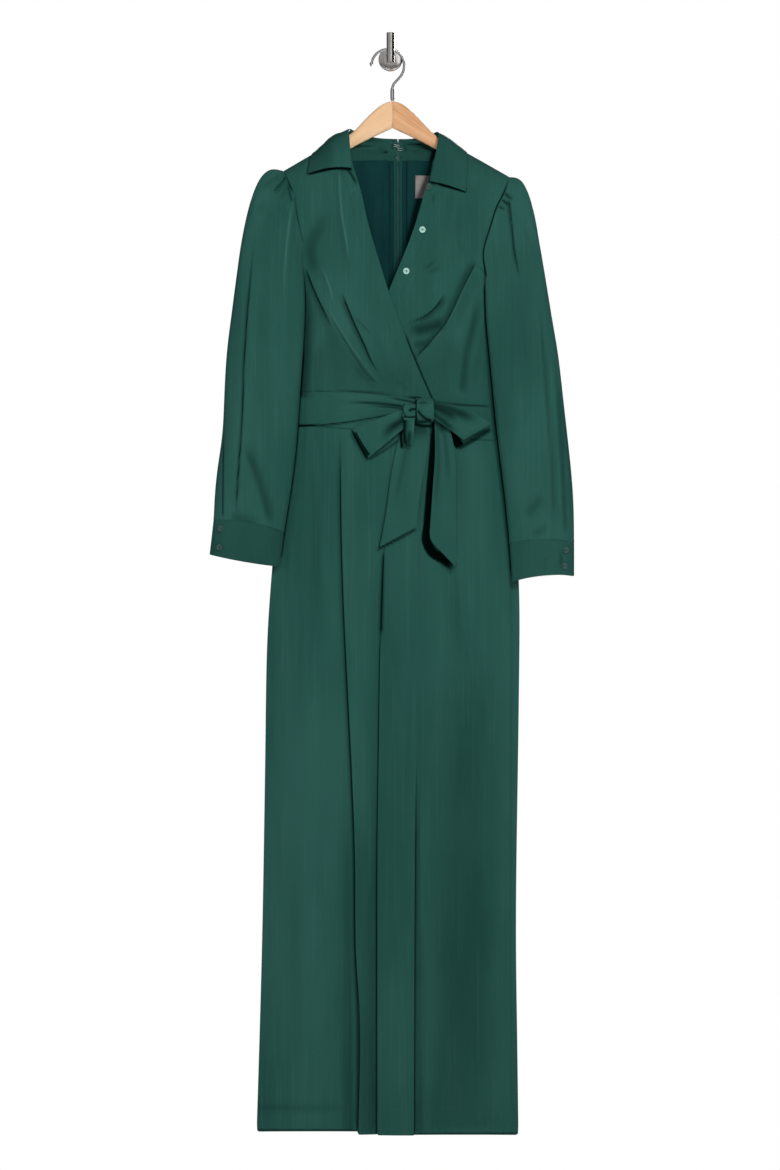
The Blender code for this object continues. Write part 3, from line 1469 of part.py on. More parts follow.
def make_hanger_hook():
    """A wire that starts at its round tip, turns over the stem and ends in a ferrule in the wood."""
    turns = np.radians(np.linspace(HOOK_TIP_TURN, -22, 17))
    arc = [(HOOK_CENTRE[0] + HOOK_RADIUS * math.cos(turn), HOOK_CENTRE[1] + HOOK_RADIUS * math.sin(turn))
           for turn in turns]
    neck = Table("x z", arc[-1], (16, -25.5), (9.5, -33), (4.8, -38), (3.2, -41.5), (3, -44))
    ferrule_end = -ARM["top"][0] - FERRULE_INTO_DIP
    ferrule = [(HANGER_X, z) for z in (FERRULE_TOP, FERRULE_TOP - 1.2, ferrule_end)]
    tip_turn = math.radians(HOOK_TIP_TURN)
    back = np.array([-math.sin(tip_turn), math.cos(tip_turn)])
    tip = [np.array(arc[0]) - back * distance for distance in (2.9, 2.2, 0.2, -2.2)]
    tip_radii = [1.4, 2.6, HOOK_TIP_RADIUS, 2.4]
    route = [*tip, *arc[1:], *neck.walk(np.linspace(0, 1, 8))[1:], *ferrule]
    radii = [*tip_radii, *[HOOK_WIRE_RADIUS] * (len(arc) - 1 + 7), 2.6, FERRULE_RADIUS, FERRULE_RADIUS]
    points = [(x, HANG_Y, z) for x, z in route]
    wire("hanger_hook", points, HOOK_WIRE_RADIUS, CHROME, radii=radii)


# ---------------------------------------------------------------- the whole part


def main():
    for old in list(bpy.data.objects):
        bpy.data.objects.remove(old)
    make_wall_hook()
    make_hanger_hook()
    for side in (LEFT, RIGHT):
        make_hanger_arm(side)
        make_bodice_front(side)
        make_bodice_back(side)
        make_lining(side)
        make_zip_tape(side)
        make_collar(side)
        make_sleeve(side)
        make_cuff(side)
        make_tail(side)
        make_leg_front(side)
        make_leg_back(side)
    make_label()
    make_waistband()
    make_sash()
    make_wrap("bow_knot", KNOT, 10, 5, pinch=0.06)
    make_wrap("bow_roll", ROLL, 8, 4, pinch=0.0)
    make_loop("bow_loop_left", LOOPS["bow_loop_left"], 17, 5)
    make_loop("bow_loop_right", LOOPS["bow_loop_right"], 17, 5)
    make_loop("bow_loop_small", LOOPS["bow_loop_small"], 11, 4)
    make_buttons()
    make_zip_slider()
    make_pull_tab()
    make_hook_and_eye()


if __name__ == "__main__":
    main()
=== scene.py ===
"""A wrap-front satin jumpsuit on a wooden hanger and a wall hook, dressed for pictures.

The plain solids come from model.glb. Every cloth piece is refined from its plain form, pressed with
the folds of the real garment and given its finish; the trims, the hanger and the hook follow. Sizes
in tables are millimetres: x to the right, y away from the viewer, and a drop below the origin.
"""

import logging
import math
from collections.abc import Callable, Sequence
from dataclasses import dataclass
from enum import Enum

import bmesh
import bpy
import numpy as np
from mathutils import Matrix, Vector
from mathutils.bvhtree import BVHTree


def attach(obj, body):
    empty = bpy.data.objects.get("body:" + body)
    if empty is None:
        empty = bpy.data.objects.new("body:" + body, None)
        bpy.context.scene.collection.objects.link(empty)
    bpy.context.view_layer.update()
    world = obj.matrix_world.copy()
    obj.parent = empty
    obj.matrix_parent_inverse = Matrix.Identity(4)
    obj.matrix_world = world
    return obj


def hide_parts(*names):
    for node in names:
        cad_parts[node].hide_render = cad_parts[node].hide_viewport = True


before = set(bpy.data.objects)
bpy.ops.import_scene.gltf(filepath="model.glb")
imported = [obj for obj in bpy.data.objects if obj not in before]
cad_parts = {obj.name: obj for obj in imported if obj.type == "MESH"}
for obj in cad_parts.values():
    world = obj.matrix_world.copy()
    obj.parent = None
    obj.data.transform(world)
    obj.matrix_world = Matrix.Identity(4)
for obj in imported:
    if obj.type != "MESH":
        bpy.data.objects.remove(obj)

log = logging.getLogger("jumpsuit")

MM = 0.001
HILLS = 64
GARMENT = "garment"
PULL_TAB = "pull_tab"

Colour = tuple[float, float, float]
Point = tuple[float, float]
Array = np.ndarray
Piece = bpy.types.Object
Pieces = dict[str, Piece]
Mesh = bpy.types.Mesh
Material = bpy.types.Material


class Face(Enum):
    """The garment's faces, by the direction in which their cloth stands proud."""

    FRONT = -1.0
    BACK = 1.0


class Steep(Enum):
    """The side of a fold on which the cloth turns under."""

    NONE = 0
    MINUS = -1
    PLUS = 1


class Held(Enum):
    """How a piece of cloth is held."""

    HUNG = "hung"
    GATHERED = "gathered"
    FOLDED = "folded"
    STRETCHED = "stretched"


# ---------------- numbers


def dimmed(colour: Colour, share: float) -> Colour:
    """A colour with SHARE of its light."""
    return tuple(part * share for part in colour)


def smoothstep(low: float, high: float, at: Array | float) -> Array:
    """A smooth rise from 0 at LOW to 1 at HIGH."""
    share = np.clip((np.asarray(at, float) - low) / (high - low), 0, 1)
    return share * share * (3 - 2 * share)


def mix(first: Array | float, second: Array | float, share: Array | float) -> Array:
    """FIRST and SECOND blended by SHARE."""
    return first * (1 - share) + second * share


def hill(at: Array | float, width: float | Array) -> Array:
    """A smooth hill of height 1 at 0, down to about a third at WIDTH."""
    return np.exp(-((at / width) ** 2))


def circle(count: int) -> Array:
    """COUNT angles in radians, evenly spaced round a circle."""
    return np.arange(count) / count * math.tau


def smooth_route(points: Sequence[Sequence[float]], count: int) -> Array:
    """A smooth line through points.

    Args:
        points: the points that it passes through, of any number of coordinates.
        count: how many points it gets, evenly spaced by the distance along it.

    Returns:
        The line's points, one row each.
    """
    known = np.asarray(points, float)
    steps = np.linalg.norm(np.diff(known, axis=0), axis=1)
    at = np.concatenate([[0], np.cumsum(steps)])
    slopes = np.gradient(known, at, axis=0) if len(known) > 2 else np.diff(known, axis=0)[[0, 0]] / at[1]
    where = np.linspace(0, at[-1], count)
    index = np.clip(np.searchsorted(at, where, "right") - 1, 0, len(known) - 2)
    step = (at[index + 1] - at[index])[:, None]
    part = (where - at[index])[:, None] / step
    start = (1 + 2 * part) * (1 - part) ** 2 * known[index] + part * (1 - part) ** 2 * step * slopes[index]
    end = part**2 * (3 - 2 * part) * known[index + 1] + part**2 * (part - 1) * step * slopes[index + 1]
    return start + end


def wander(across: Array, along: Array, seed: int) -> Array:
    """Smooth noise between about -1 and 1 on a plane, with one hill or hollow a unit.

    Args:
        across, along: the places.
        seed: the number that picks the noise.

    Returns:
        The noise at each place.
    """
    table = np.random.default_rng(seed).uniform(-1, 1, (HILLS, HILLS))
    low_x, low_y = np.floor(across).astype(int), np.floor(along).astype(int)
    part_x, part_y = across - low_x, along - low_y
    part_x = part_x**3 * (part_x * (part_x * 6 - 15) + 10)
    part_y = part_y**3 * (part_y * (part_y * 6 - 15) + 10)
    corner = [[table[(low_x + i) % HILLS, (low_y + j) % HILLS] for j in (0, 1)] for i in (0, 1)]
    return mix(mix(corner[0][0], corner[1][0], part_x), mix(corner[0][1], corner[1][1], part_x), part_y)


# ---------------- folds


# A fold's route in steps, and how far it reaches: so many of its widths and millimetres more.
ROUTE_STEPS = 64
REACH = 4
MARGIN = 6
# Millimetres over which the clear border of a painted shadow and the end of a route fade.
BORDER = 1.1
END_FADE = 4.0
# The width of a groove's painted shade line as a share of its edge, and the painted shade beyond it.
GROOVE_LINE = 0.9
UNDER_SHADE = 0.45


@dataclass(frozen=True)
class Fold:
    """Cloth that stands proud along a route from its first point to its last.

    On its steep side the cloth turns under: it drops within EDGE, sinks to GROOVE and comes back
    over the width of that side. The plus side is to the right of a route that runs down. SHADE is
    painted shade in the colour: a dark line at the foot of the step on the steep side, else over the
    crest. A fold of no height only paints shade, with a clear border; a shade below 0 paints a
    highlight on the crest.
    """

    route: tuple[Point, ...]
    height: float
    minus: float
    plus: float
    steep: Steep = Steep.NONE
    groove: float = 0.0
    edge: float = 1.8
    shade: float = 0.0
    start: float = 0.3
    end: float = 0.3

    def press(self, x: Array, drop: Array) -> tuple[Array, Array]:
        """The height of the fold and the share of painted shade, or of painted highlight below 0, at each
        place.

        Args:
            x, drop: the places.

        Returns:
            The height in millimetres and the share.
        """
        route = smooth_route(self.route, ROUTE_STEPS)
        tangent = np.gradient(route, axis=0)
        tangent /= np.linalg.norm(tangent, axis=1, keepdims=True)
        reach = REACH * max(self.minus, self.plus) + MARGIN
        low, high = route.min(0) - reach, route.max(0) + reach
        near = (x > low[0]) & (x < high[0]) & (drop > low[1]) & (drop < high[1])
        lift, dark = np.zeros_like(x), np.zeros_like(x)
        if not near.any():
            return lift, dark
        place = np.stack([x[near], drop[near]], -1)
        away = place[:, None] - route
        nearest = (away**2).sum(-1).argmin(1)
        along = tangent[nearest]
        away = away[np.arange(len(place)), nearest]
        side = away[:, 0] * along[:, 1] - away[:, 1] * along[:, 0]
        past = abs((away * along).sum(-1)) * ((nearest == 0) | (nearest == ROUTE_STEPS - 1))
        share = nearest / (ROUTE_STEPS - 1)
        ends = smoothstep(0, self.start, share) if self.start else np.ones_like(share)
        ends = ends * (smoothstep(0, self.end, 1 - share) if self.end else 1)
        ends = ends * hill(past, END_FADE)
        if self.steep is Steep.NONE:
            width = np.where(side > 0, self.plus, self.minus)
            crest = hill(side, width)
            lift[near] = self.height * ends * crest
            # Painted shade: soft over the crest, or with a clear border where the fold has no height.
            spread = crest if self.height else 1 - smoothstep(-BORDER, BORDER, abs(side) - width)
            dark[near] = self.shade * ends * spread
            return lift, dark
        soft, far = (self.plus, self.minus) if self.steep is Steep.MINUS else (self.minus, self.plus)
        under = side * self.steep.value
        down = smoothstep(0, self.edge, under)
        back = hill(np.maximum(under - self.edge, 0), far)
        proud = self.height * np.where(under < 0, hill(under, soft), 1 - down)
        lift[near] = ends * (proud - self.groove * down * back)
        # Painted shade: a dark line at the foot of the step and weaker shade beyond it.
        line = hill(under - self.edge, self.edge * GROOVE_LINE)
        dark[near] = self.shade * ends * np.maximum(line, UNDER_SHADE * down * back)
        return lift, dark


# ---------------- shader nodes


def operator(operation: str, swap: bool = False) -> Callable[..., "Value"]:
    """A method that passes a value, and any others, through a Math node.

    Args:
        operation: what the node does.
        swap: whether the value itself comes last.

    Returns:
        The method.
    """

    def method(self: "Value", *others: "Value | float") -> "Value":
        """The value after the node."""
        node = self.tree.nodes.new("ShaderNodeMath")
        node.operation = operation
        for slot, value in zip(node.inputs, [*others, self] if swap else [self, *others]):
            if isinstance(value, Value):
                self.tree.links.new(value.socket, slot)
            else:
                slot.default_value = value
        return Value(self.tree, node.outputs[0])

    return method


class Value:
    """A shader socket that works in Python expressions on numbers."""

    def __init__(self, tree: bpy.types.NodeTree, socket: bpy.types.NodeSocket) -> None:
        """Keeps a socket and its tree."""
        self.tree = tree
        self.socket = socket

    __add__ = __radd__ = operator("ADD")
    __sub__ = operator("SUBTRACT")
    __rsub__ = operator("SUBTRACT", swap=True)
    __mul__ = operator("MULTIPLY")
    sine = operator("SINE")
    size = operator("ABSOLUTE")

    def between(self, low: float, high: float) -> "Value":
        """A smooth rise from 0 at LOW to 1 at HIGH.

        Args:
            low, high: the values between which it rises.

        Returns:
            The risen value.
        """
        node = self.tree.nodes.new("ShaderNodeMapRange")
        node.interpolation_type = "SMOOTHSTEP"
        self.tree.links.new(self.socket, node.inputs["Value"])
        node.inputs["From Min"].default_value = low
        node.inputs["From Max"].default_value = high
        return Value(self.tree, node.outputs[0])


Socket = Value | float | Sequence[float]


class Nodes:
    """A node tree that is put together node by node."""

    def __init__(self, tree: bpy.types.NodeTree) -> None:
        """Keeps the tree."""
        self.tree = tree

    def node(self, kind: str, sockets: dict | None = None, **settings: str) -> bpy.types.Node:
        """One node.

        Args:
            kind: its type.
            sockets: the value or the link of each input, by name or number.
            settings: its properties, set first.

        Returns:
            The node.
        """
        made = self.tree.nodes.new(kind)
        for name, value in settings.items():
            setattr(made, name, value)
        for name, value in (sockets or {}).items():
            self.join(made.inputs[name], value)
        return made

    def join(self, slot: bpy.types.NodeSocket, value: Socket) -> None:
        """Links VALUE to a socket, or sets the socket to it."""
        if isinstance(value, Value):
            self.tree.links.new(value.socket, slot)
        elif isinstance(value, (int, float)):
            slot.default_value = value
        else:
            room = len(slot.default_value)
            slot.default_value = (*value, 1) if room == 4 and len(value) == 3 else tuple(value)

    def out(self, node: bpy.types.Node, name: str | int = 0) -> Value:
        """One output of a node."""
        return Value(self.tree, node.outputs[name])

    def value(
        self, kind: str, sockets: dict | None = None, output: str | int = 0, **settings: str
    ) -> Value:
        """One output of a new node."""
        return self.out(self.node(kind, sockets, **settings), output)


class Paint(Nodes):
    """The nodes of a new material."""

    def __init__(self, name: str) -> None:
        """Starts a material called NAME."""
        self.material = bpy.data.materials.new(name)
        self.material.use_nodes = True
        super().__init__(self.material.node_tree)
        self.shader = self.tree.nodes["Principled BSDF"]

    def place(self, scale: Sequence[float] = (1, 1, 1), turn: Sequence[float] = (0, 0, 0)) -> Value:
        """The place on the piece in metres, turned by TURN in radians and then scaled."""
        where = self.value("ShaderNodeTexCoord", None, "Object")
        if any(turn):
            sockets = {"Vector": where, "Rotation": turn}
            where = self.value("ShaderNodeMapping", sockets, vector_type="TEXTURE")
        return self.value("ShaderNodeMapping", {"Vector": where, "Scale": scale})

    def noise(
        self,
        scale: Sequence[float],
        detail: float,
        roughness: float,
        twist: float = 0.0,
        turn: Sequence[float] = (0, 0, 0),
    ) -> Value:
        """Noise from 0 to 1, with SCALE patches a metre along each axis.

        Args:
            scale: patches a metre along x, y and z.
            detail, roughness, twist: the node's own settings.
            turn: the turn of the pattern in radians.

        Returns:
            The noise.
        """
        sockets = {"Vector": self.place(scale, turn), "Scale": 1.0}
        sockets |= {"Detail": detail, "Roughness": roughness, "Distortion": twist}
        return self.value("ShaderNodeTexNoise", sockets)

    def blend(self, share: Socket, first: Socket, second: Socket) -> Value:
        """FIRST and SECOND colour blended by SHARE."""
        return self.value("ShaderNodeMix", {0: share, 6: first, 7: second}, 2, data_type="RGBA")

    def axis(self, place: Value, name: str) -> Value:
        """One coordinate of a place."""
        return self.value("ShaderNodeSeparateXYZ", {"Vector": place}, name)

    def attribute(self, name: str) -> Value:
        """A number that each point of the mesh carries."""
        return self.value("ShaderNodeAttribute", None, "Fac", attribute_name=name)

    def bump(
        self, height: Value, distance: float, strength: float, under: Value | None = None
    ) -> Value:
        """A normal that follows HEIGHT, whose unit is DISTANCE metres, over the one of UNDER."""
        sockets = {"Height": height, "Distance": distance, "Strength": strength}
        return self.value("ShaderNodeBump", sockets if under is None else sockets | {"Normal": under})

    def shade(self, share: Value, colour: Colour) -> None:
        """Lays matt COLOUR over the finish by SHARE: painted shade, as in the depth of a fold."""
        sockets = {"Base Color": colour, "Roughness": 1.0, "Specular IOR Level": 0.0}
        matt = self.value("ShaderNodeBsdfPrincipled", sockets)
        over = self.value("ShaderNodeMixShader", {0: share, 1: self.out(self.shader), 2: matt})
        self.join(self.tree.nodes["Material Output"].inputs["Surface"], over)

    def set(self, **sockets: Socket) -> Material:
        """Sets the shader's sockets, an underscore for each space in a name, and returns the material."""
        for name, value in sockets.items():
            self.join(self.shader.inputs[name.replace("_", " ")], value)
        return self.material


# ---------------- finishes


@dataclass(frozen=True)
class Satin:
    """Heavy dress satin of smooth floats and soft sheen, with painted sheen streaks, painted shade in its
    folds and painted highlights on their crests.
    """

    name: str = "satin"
    body: Colour = (0.0135, 0.0640, 0.0520)
    light: Colour = (0.0215, 0.0860, 0.0710)
    # The colour of painted shade in folds, then of painted highlights on their crests.
    deep: Colour = (0.0004, 0.0034, 0.0030)
    pale: Colour = (0.0620, 0.1750, 0.1500)
    gloss: Colour = (0.38, 1.0, 0.86)
    roughness: float = 0.42
    stretch: tuple[float, float, float] = (34.0, 20.0, 5.0)
    crumple: float = 0.0010
    streak: float = 0.00040
    # How strongly the painted sheen streaks show, then their colour.
    lines: float = 0.28
    sheen: Colour = (0.0330, 0.1120, 0.0950)

    def material(self) -> Material:
        """Colour with slow bands, painted sheen streaks, painted crest highlights and painted shade in
        folds, and a bump of slack cloth, streaks and weave.
        """
        paint = Paint(self.name)
        slow = paint.noise((11, 11, 3.0), 3, 0.5)
        band = paint.noise(self.stretch, 2, 0.45, 0.3)
        tone = paint.blend(slow.between(0.30, 0.72), self.body, self.light)
        slub = paint.noise((2600, 2600, 90), 1, 0.4)
        tone = paint.blend(slub.between(0.62, 0.8) * 0.16, tone, self.light)
        # Painted sheen: narrow vertical streaks of paler colour where light would catch fine wrinkles.
        painted_sheen_streaks = paint.noise((270, 120, 5), 3, 0.6)
        tone = paint.blend(painted_sheen_streaks.between(0.50, 0.74) * self.lines, tone, self.sheen)
        # Painted highlight on the crests of folds, from a number on each point of the mesh.
        tone = paint.blend(paint.attribute("gleam"), tone, self.pale)
        # Painted shade in folds and under other parts: matt near-black laid over the finish.
        paint.shade(paint.attribute("tuck"), self.deep)
        weave = paint.noise((1500, 1500, 420), 1, 0.5)
        narrow = tuple(scale * share for scale, share in zip(self.stretch, (7, 5, 1.1)))
        fine = paint.noise(narrow, 3, 0.55)
        slack = paint.bump(fine, self.streak, 0.8, paint.bump(band, self.crumple, 0.9))
        normal = paint.bump(weave, 0.00002, 0.5, slack)
        rough = self.roughness + (slow - 0.5) * 0.10 + (weave - 0.5) * 0.06
        paint.set(Sheen_Weight=0.05, Sheen_Roughness=0.4, Sheen_Tint=self.gloss)
        paint.set(Specular_IOR_Level=0.18, Specular_Tint=self.gloss, Anisotropic=0.25)
        return paint.set(Base_Color=tone, Roughness=rough, Normal=normal)


@dataclass(frozen=True)
class Lining:
    """Thin matt lining, almost black green."""

    name: str = "lining"
    body: Colour = (0.0041, 0.0268, 0.0280)
    light: Colour = (0.0066, 0.0380, 0.0385)

    def material(self) -> Material:
        """Slow vertical bands of slack cloth over a fine weave, with the painted shadow of the front band.
        """
        paint = Paint(self.name)
        band = paint.noise((36, 20, 7), 3, 0.5)
        weave = paint.noise((1700, 1700, 1700), 1, 0.5)
        tone = paint.blend(band.between(0.3, 0.75), self.body, self.light)
        # Painted shadow of the front band, from a number on each point of the mesh.
        tone = paint.blend(paint.attribute("tuck"), tone, dimmed(self.body, 0.3))
        normal = paint.bump(weave, 0.00002, 0.4, paint.bump(band, 0.0012, 0.7))
        paint.set(Specular_IOR_Level=0.08, Specular_Tint=(0.3, 1.0, 1.0))
        return paint.set(Base_Color=tone, Roughness=0.58 + weave * 0.06, Normal=normal)


@dataclass(frozen=True)
class Tape:
    """The zip's woven tape: as dark as the lining, with a paler rib on each side of the coil."""

    name: str = "tape"
    centre: float = 0.0112
    rib: float = 0.0050
    body: Colour = (0.0046, 0.0290, 0.0290)
    inner: Colour = (0.0085, 0.0460, 0.0420)
    pale: Colour = (0.0190, 0.0760, 0.0660)

    def material(self) -> Material:
        """The two ribs over a fine herringbone weave."""
        paint = Paint(self.name)
        across = (paint.axis(paint.place(), "X") - self.centre).size()
        band = 1 - across.between(self.rib - 0.0004, self.rib + 0.0006)
        rib = 1 - (across - self.rib).size().between(0.0, 0.0011)
        weave = paint.noise((2200, 2200, 1100), 1, 0.5)
        tone = paint.blend(band, self.body, self.inner)
        tone = paint.blend(rib * (0.55 + weave * 0.3), tone, self.pale)
        paint.set(Specular_IOR_Level=0.12, Specular_Tint=(0.3, 1.0, 0.9))
        normal = paint.bump(weave, 0.00003, 0.5)
        return paint.set(Base_Color=tone, Roughness=0.55 + weave * 0.1, Normal=normal)


@dataclass(frozen=True)
class LabelCloth:
    """A bare woven label, grey, with a faint rib, darker towards its edges, and the painted shadow of the
    front band.
    """

    name: str = "label"
    body: Colour = (0.270, 0.245, 0.240)
    dark: Colour = (0.190, 0.170, 0.168)

    def material(self) -> Material:
        """Fine ribs across the label and patches of wear."""
        paint = Paint(self.name)
        rib = (paint.axis(paint.place(), "Z") * (math.tau / 0.0007)).sine() * 0.5 + 0.5
        wear = paint.noise((260, 260, 260), 3, 0.6)
        tone = paint.blend(wear.between(0.35, 0.8), self.body, self.dark)
        tone = paint.blend(rib * 0.25, tone, self.dark)
        # Darker towards the edges, and the painted shadow of the front band, from a number on each point of
        # the mesh.
        tone = paint.blend(paint.attribute("tuck"), tone, dimmed(self.dark, 0.4))
        paint.set(Sheen_Weight=0.15, Specular_IOR_Level=0.35)
        normal = paint.bump(rib, 0.00004, 0.6)
        return paint.set(Base_Color=tone, Roughness=0.66 + wear * 0.12, Normal=normal)


@dataclass(frozen=True)
class Wood:
    """Oiled beech with grain along the arm and flecks."""

    name: str
    slope: float
    body: Colour
    vein: Colour
    contrast: float

    def material(self) -> Material:
        """Grain lines that wander along the slope of the arm, with short flecks."""
        paint = Paint(self.name)
        turn = (0.0, self.slope, 0.0)
        fibre = paint.noise((9, 150, 420), 5, 0.62, 0.4, turn=turn)
        wave = paint.noise((6, 40, 75), 3, 0.5, 0.8, turn=turn)
        fleck = paint.noise((140, 700, 1500), 2, 0.5, turn=turn)
        grain = fibre.between(0.36, 0.70) * 0.6 + wave.between(0.40, 0.66) * 0.4
        tone = paint.blend(grain * self.contrast, self.body, self.vein)
        tone = paint.blend(fleck.between(0.63, 0.74) * 0.30, tone, dimmed(self.vein, 0.62))
        normal = paint.bump(fibre + fleck * 0.4, 0.00012, 0.35)
        paint.set(Coat_Roughness=0.35, Specular_IOR_Level=0.4)
        return paint.set(Base_Color=tone, Roughness=0.42 + grain * 0.14, Normal=normal, Coat_Weight=0.12)


@dataclass(frozen=True)
class Metal:
    """Plated or brushed metal. BRUSH gives the scale of the brush marks on each axis."""

    name: str
    body: Colour
    roughness: float
    brush: tuple[float, float, float]
    depth: float
    stain: float = 0.12

    def material(self) -> Material:
        """Brush marks in the roughness and the normal, and slow stains in the colour."""
        paint = Paint(self.name)
        mark = paint.noise(self.brush, 3, 0.6)
        stain = paint.noise((70, 70, 70), 3, 0.55)
        dull = dimmed(self.body, 0.72)
        tone = paint.blend(stain.between(0.35, 0.75) * self.stain * 4, self.body, dull)
        paint.set(Metallic=1.0)
        rough = self.roughness + (mark - 0.5) * 0.12 + (stain - 0.5) * 0.10
        return paint.set(Base_Color=tone, Roughness=rough, Normal=paint.bump(mark, self.depth, 0.6))


@dataclass(frozen=True)
class ButtonFinish:
    """Polished shell or resin with slow clouds, and painted shade in its holes."""

    name: str
    body: Colour
    cloud: Colour

    def material(self) -> Material:
        """Clouded colour under a clear coat, with painted shade in the holes."""
        paint = Paint(self.name)
        cloud = paint.noise((420, 420, 420), 4, 0.6, 1.2)
        fine = paint.noise((1800, 1800, 1800), 2, 0.5)
        tone = paint.blend(cloud.between(0.35, 0.7), self.body, self.cloud)
        # Painted shade in the holes, from a number on each point of the mesh.
        tone = paint.blend(paint.attribute("tuck"), tone, dimmed(self.cloud, 0.15))
        paint.set(Coat_Roughness=0.12, Specular_IOR_Level=0.5, Coat_Weight=0.5)
        normal = paint.bump(fine, 0.00002, 0.3)
        return paint.set(Base_Color=tone, Roughness=0.26 + fine * 0.1, Normal=normal)


@dataclass(frozen=True)
class Thread:
    """Sewing thread with a fine twist."""

    name: str
    body: Colour
    light: Colour

    def material(self) -> Material:
        """Bands of twist along the thread."""
        paint = Paint(self.name)
        twist = paint.noise((2400, 2400, 2400), 2, 0.6)
        tone = paint.blend(twist.between(0.35, 0.65), self.body, self.light)
        paint.set(Sheen_Weight=0.2, Specular_IOR_Level=0.4)
        normal = paint.bump(twist, 0.0001, 0.5)
        return paint.set(Base_Color=tone, Roughness=0.5 + twist * 0.15, Normal=normal)


@dataclass(frozen=True)
class Floor:
    """Plain pale floor."""

    name: str = "floor"
    body: Colour = (0.88, 0.88, 0.87)

    def material(self) -> Material:
        """An even tone with hardly visible clouds."""
        paint = Paint(self.name)
        cloud = paint.noise((3, 3, 3), 3, 0.5)
        tone = paint.blend(cloud * 0.2, self.body, dimmed(self.body, 0.94))
        return paint.set(Base_Color=tone, Roughness=0.75 + cloud * 0.1)


class Wardrobe:
    """Every finish, made once."""

    def __init__(self) -> None:
        """Makes every material once."""
        self.satin = Satin().material()
        limp = {"crumple": 0.0005, "streak": 0.00012, "stretch": (60, 40, 22), "lines": 0.1}
        self.limp = Satin("satin_of_the_bow", **limp).material()
        self.lining = Lining().material()
        self.tape = Tape().material()
        self.label = LabelCloth().material()
        light, light_vein = (0.800, 0.535, 0.322), (0.690, 0.400, 0.205)
        warm, warm_vein = (0.740, 0.430, 0.232), (0.520, 0.235, 0.100)
        self.wood_left = Wood("light_wood", -0.62, light, light_vein, 0.70).material()
        self.wood_right = Wood("warm_wood", 0.62, warm, warm_vein, 0.95).material()
        self.chrome = Metal("chrome", (0.66, 0.66, 0.67), 0.16, (90, 90, 90), 0.000004).material()
        steel, green = (0.70, 0.675, 0.64), (0.016, 0.040, 0.037)
        self.nickel = Metal("brushed_nickel", steel, 0.22, (420, 420, 8), 0.000002).material()
        self.enamel = Metal("enamelled_zip", green, 0.50, (300, 300, 300), 0.000004).material()
        self.silver = Metal("silver", (0.92, 0.92, 0.92), 0.32, (300, 300, 300), 0.000004).material()
        self.mint = ButtonFinish("mint_button", (0.40, 0.66, 0.58), (0.25, 0.47, 0.41)).material()
        self.dark = ButtonFinish("dark_button", (0.010, 0.040, 0.034), (0.022, 0.075, 0.062)).material()
        self.thread = Thread("thread", (0.010, 0.052, 0.043), (0.026, 0.105, 0.088)).material()
        self.zip_coil = Thread("zip_coil", (0.016, 0.042, 0.038), (0.040, 0.080, 0.072)).material()
        self.floor = Floor().material()


# ---------------- meshes


ZIP_X = 11.2
# How often the faces of cloth and of plainer pieces are divided.
CLOTH_LEVELS = 3
PLAIN_LEVELS = 2
# An edge is sharp from this angle; a face with a side this short is the rim of a cloth.
RIM_DEGREES = 52.0
FLAT_ANGLE = math.radians(50)
RIM_SIDE = 2.1 * MM
MERGE = 0.01 * MM
# Metres from the wall at which rays start, and a direction that no route runs along.
RAY_START = 0.6
ASKEW = (0.13, 0.31, 0.94)
# How a meeting edge is read and moved, in millimetres.
SEAM_STEP = 1.5
SEAM_FADE = 5.0
SEAM_TAIL = 6.0
SEAM_GAP = 0.02


def link(mesh: Mesh, name: str) -> Piece:
    """A mesh as an object at the origin."""
    made = bpy.data.objects.new(name, mesh)
    bpy.context.scene.collection.objects.link(made)
    return made


def bake(source: Piece, name: str) -> Piece:
    """The object as its modifiers leave it, as a plain mesh. The source is deleted.

    Args:
        source: the object with its modifiers.
        name: the new piece's name.

    Returns:
        The piece.
    """
    bpy.context.view_layer.update()
    depsgraph = bpy.context.evaluated_depsgraph_get()
    mesh = bpy.data.meshes.new_from_object(source.evaluated_get(depsgraph))
    mesh.name = name
    bpy.data.objects.remove(source)
    return link(mesh, name)


def refined(node: str, name: str, levels: int, rim: float, degrees: float = RIM_DEGREES) -> Piece:
    """A finer, smoother copy of a plain node.

    Args:
        node: the node.
        name: the copy's name.
        levels: how often its faces are divided.
        rim: how crisp its edges stay, from 0 to 1.
        degrees: the angle between faces from which an edge counts as one.

    Returns:
        The copy. Faces of the narrow rim of a cloth piece carry material index 1.
    """
    shape = bmesh.new()
    shape.from_mesh(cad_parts[node].data)
    bmesh.ops.remove_doubles(shape, verts=shape.verts, dist=MERGE)
    bmesh.ops.join_triangles(
        shape, faces=shape.faces, angle_face_threshold=FLAT_ANGLE, angle_shape_threshold=math.pi
    )
    crease = shape.edges.layers.float.new("crease_edge")
    for edge in shape.edges:
        if edge.is_manifold and edge.calc_face_angle(0) > math.radians(degrees):
            edge[crease] = rim
    for face in shape.faces:
        short = min(edge.calc_length() for edge in face.edges) < RIM_SIDE
        face.material_index = 1 if short and sum(edge[crease] > 0 for edge in face.edges) >= 2 else 0
        face.smooth = True
    mesh = bpy.data.meshes.new(name)
    shape.to_mesh(mesh)
    shape.free()
    mesh.materials.append(None)
    mesh.materials.append(None)
    plain = link(mesh, name + "_plain")
    smooth = plain.modifiers.new("smooth", "SUBSURF")
    smooth.levels = smooth.render_levels = levels
    return bake(plain, name)


def vectors(mesh: Mesh, name: str) -> Array:
    """One vector of each point of a mesh, such as its place or its normal."""
    flat = np.empty(len(mesh.vertices) * 3, np.float32)
    mesh.vertices.foreach_get(name, flat)
    return flat.reshape(-1, 3)


def coordinates(mesh: Mesh) -> Array:
    """The mesh's points in millimetres."""
    return vectors(mesh, "co").astype(float) / MM


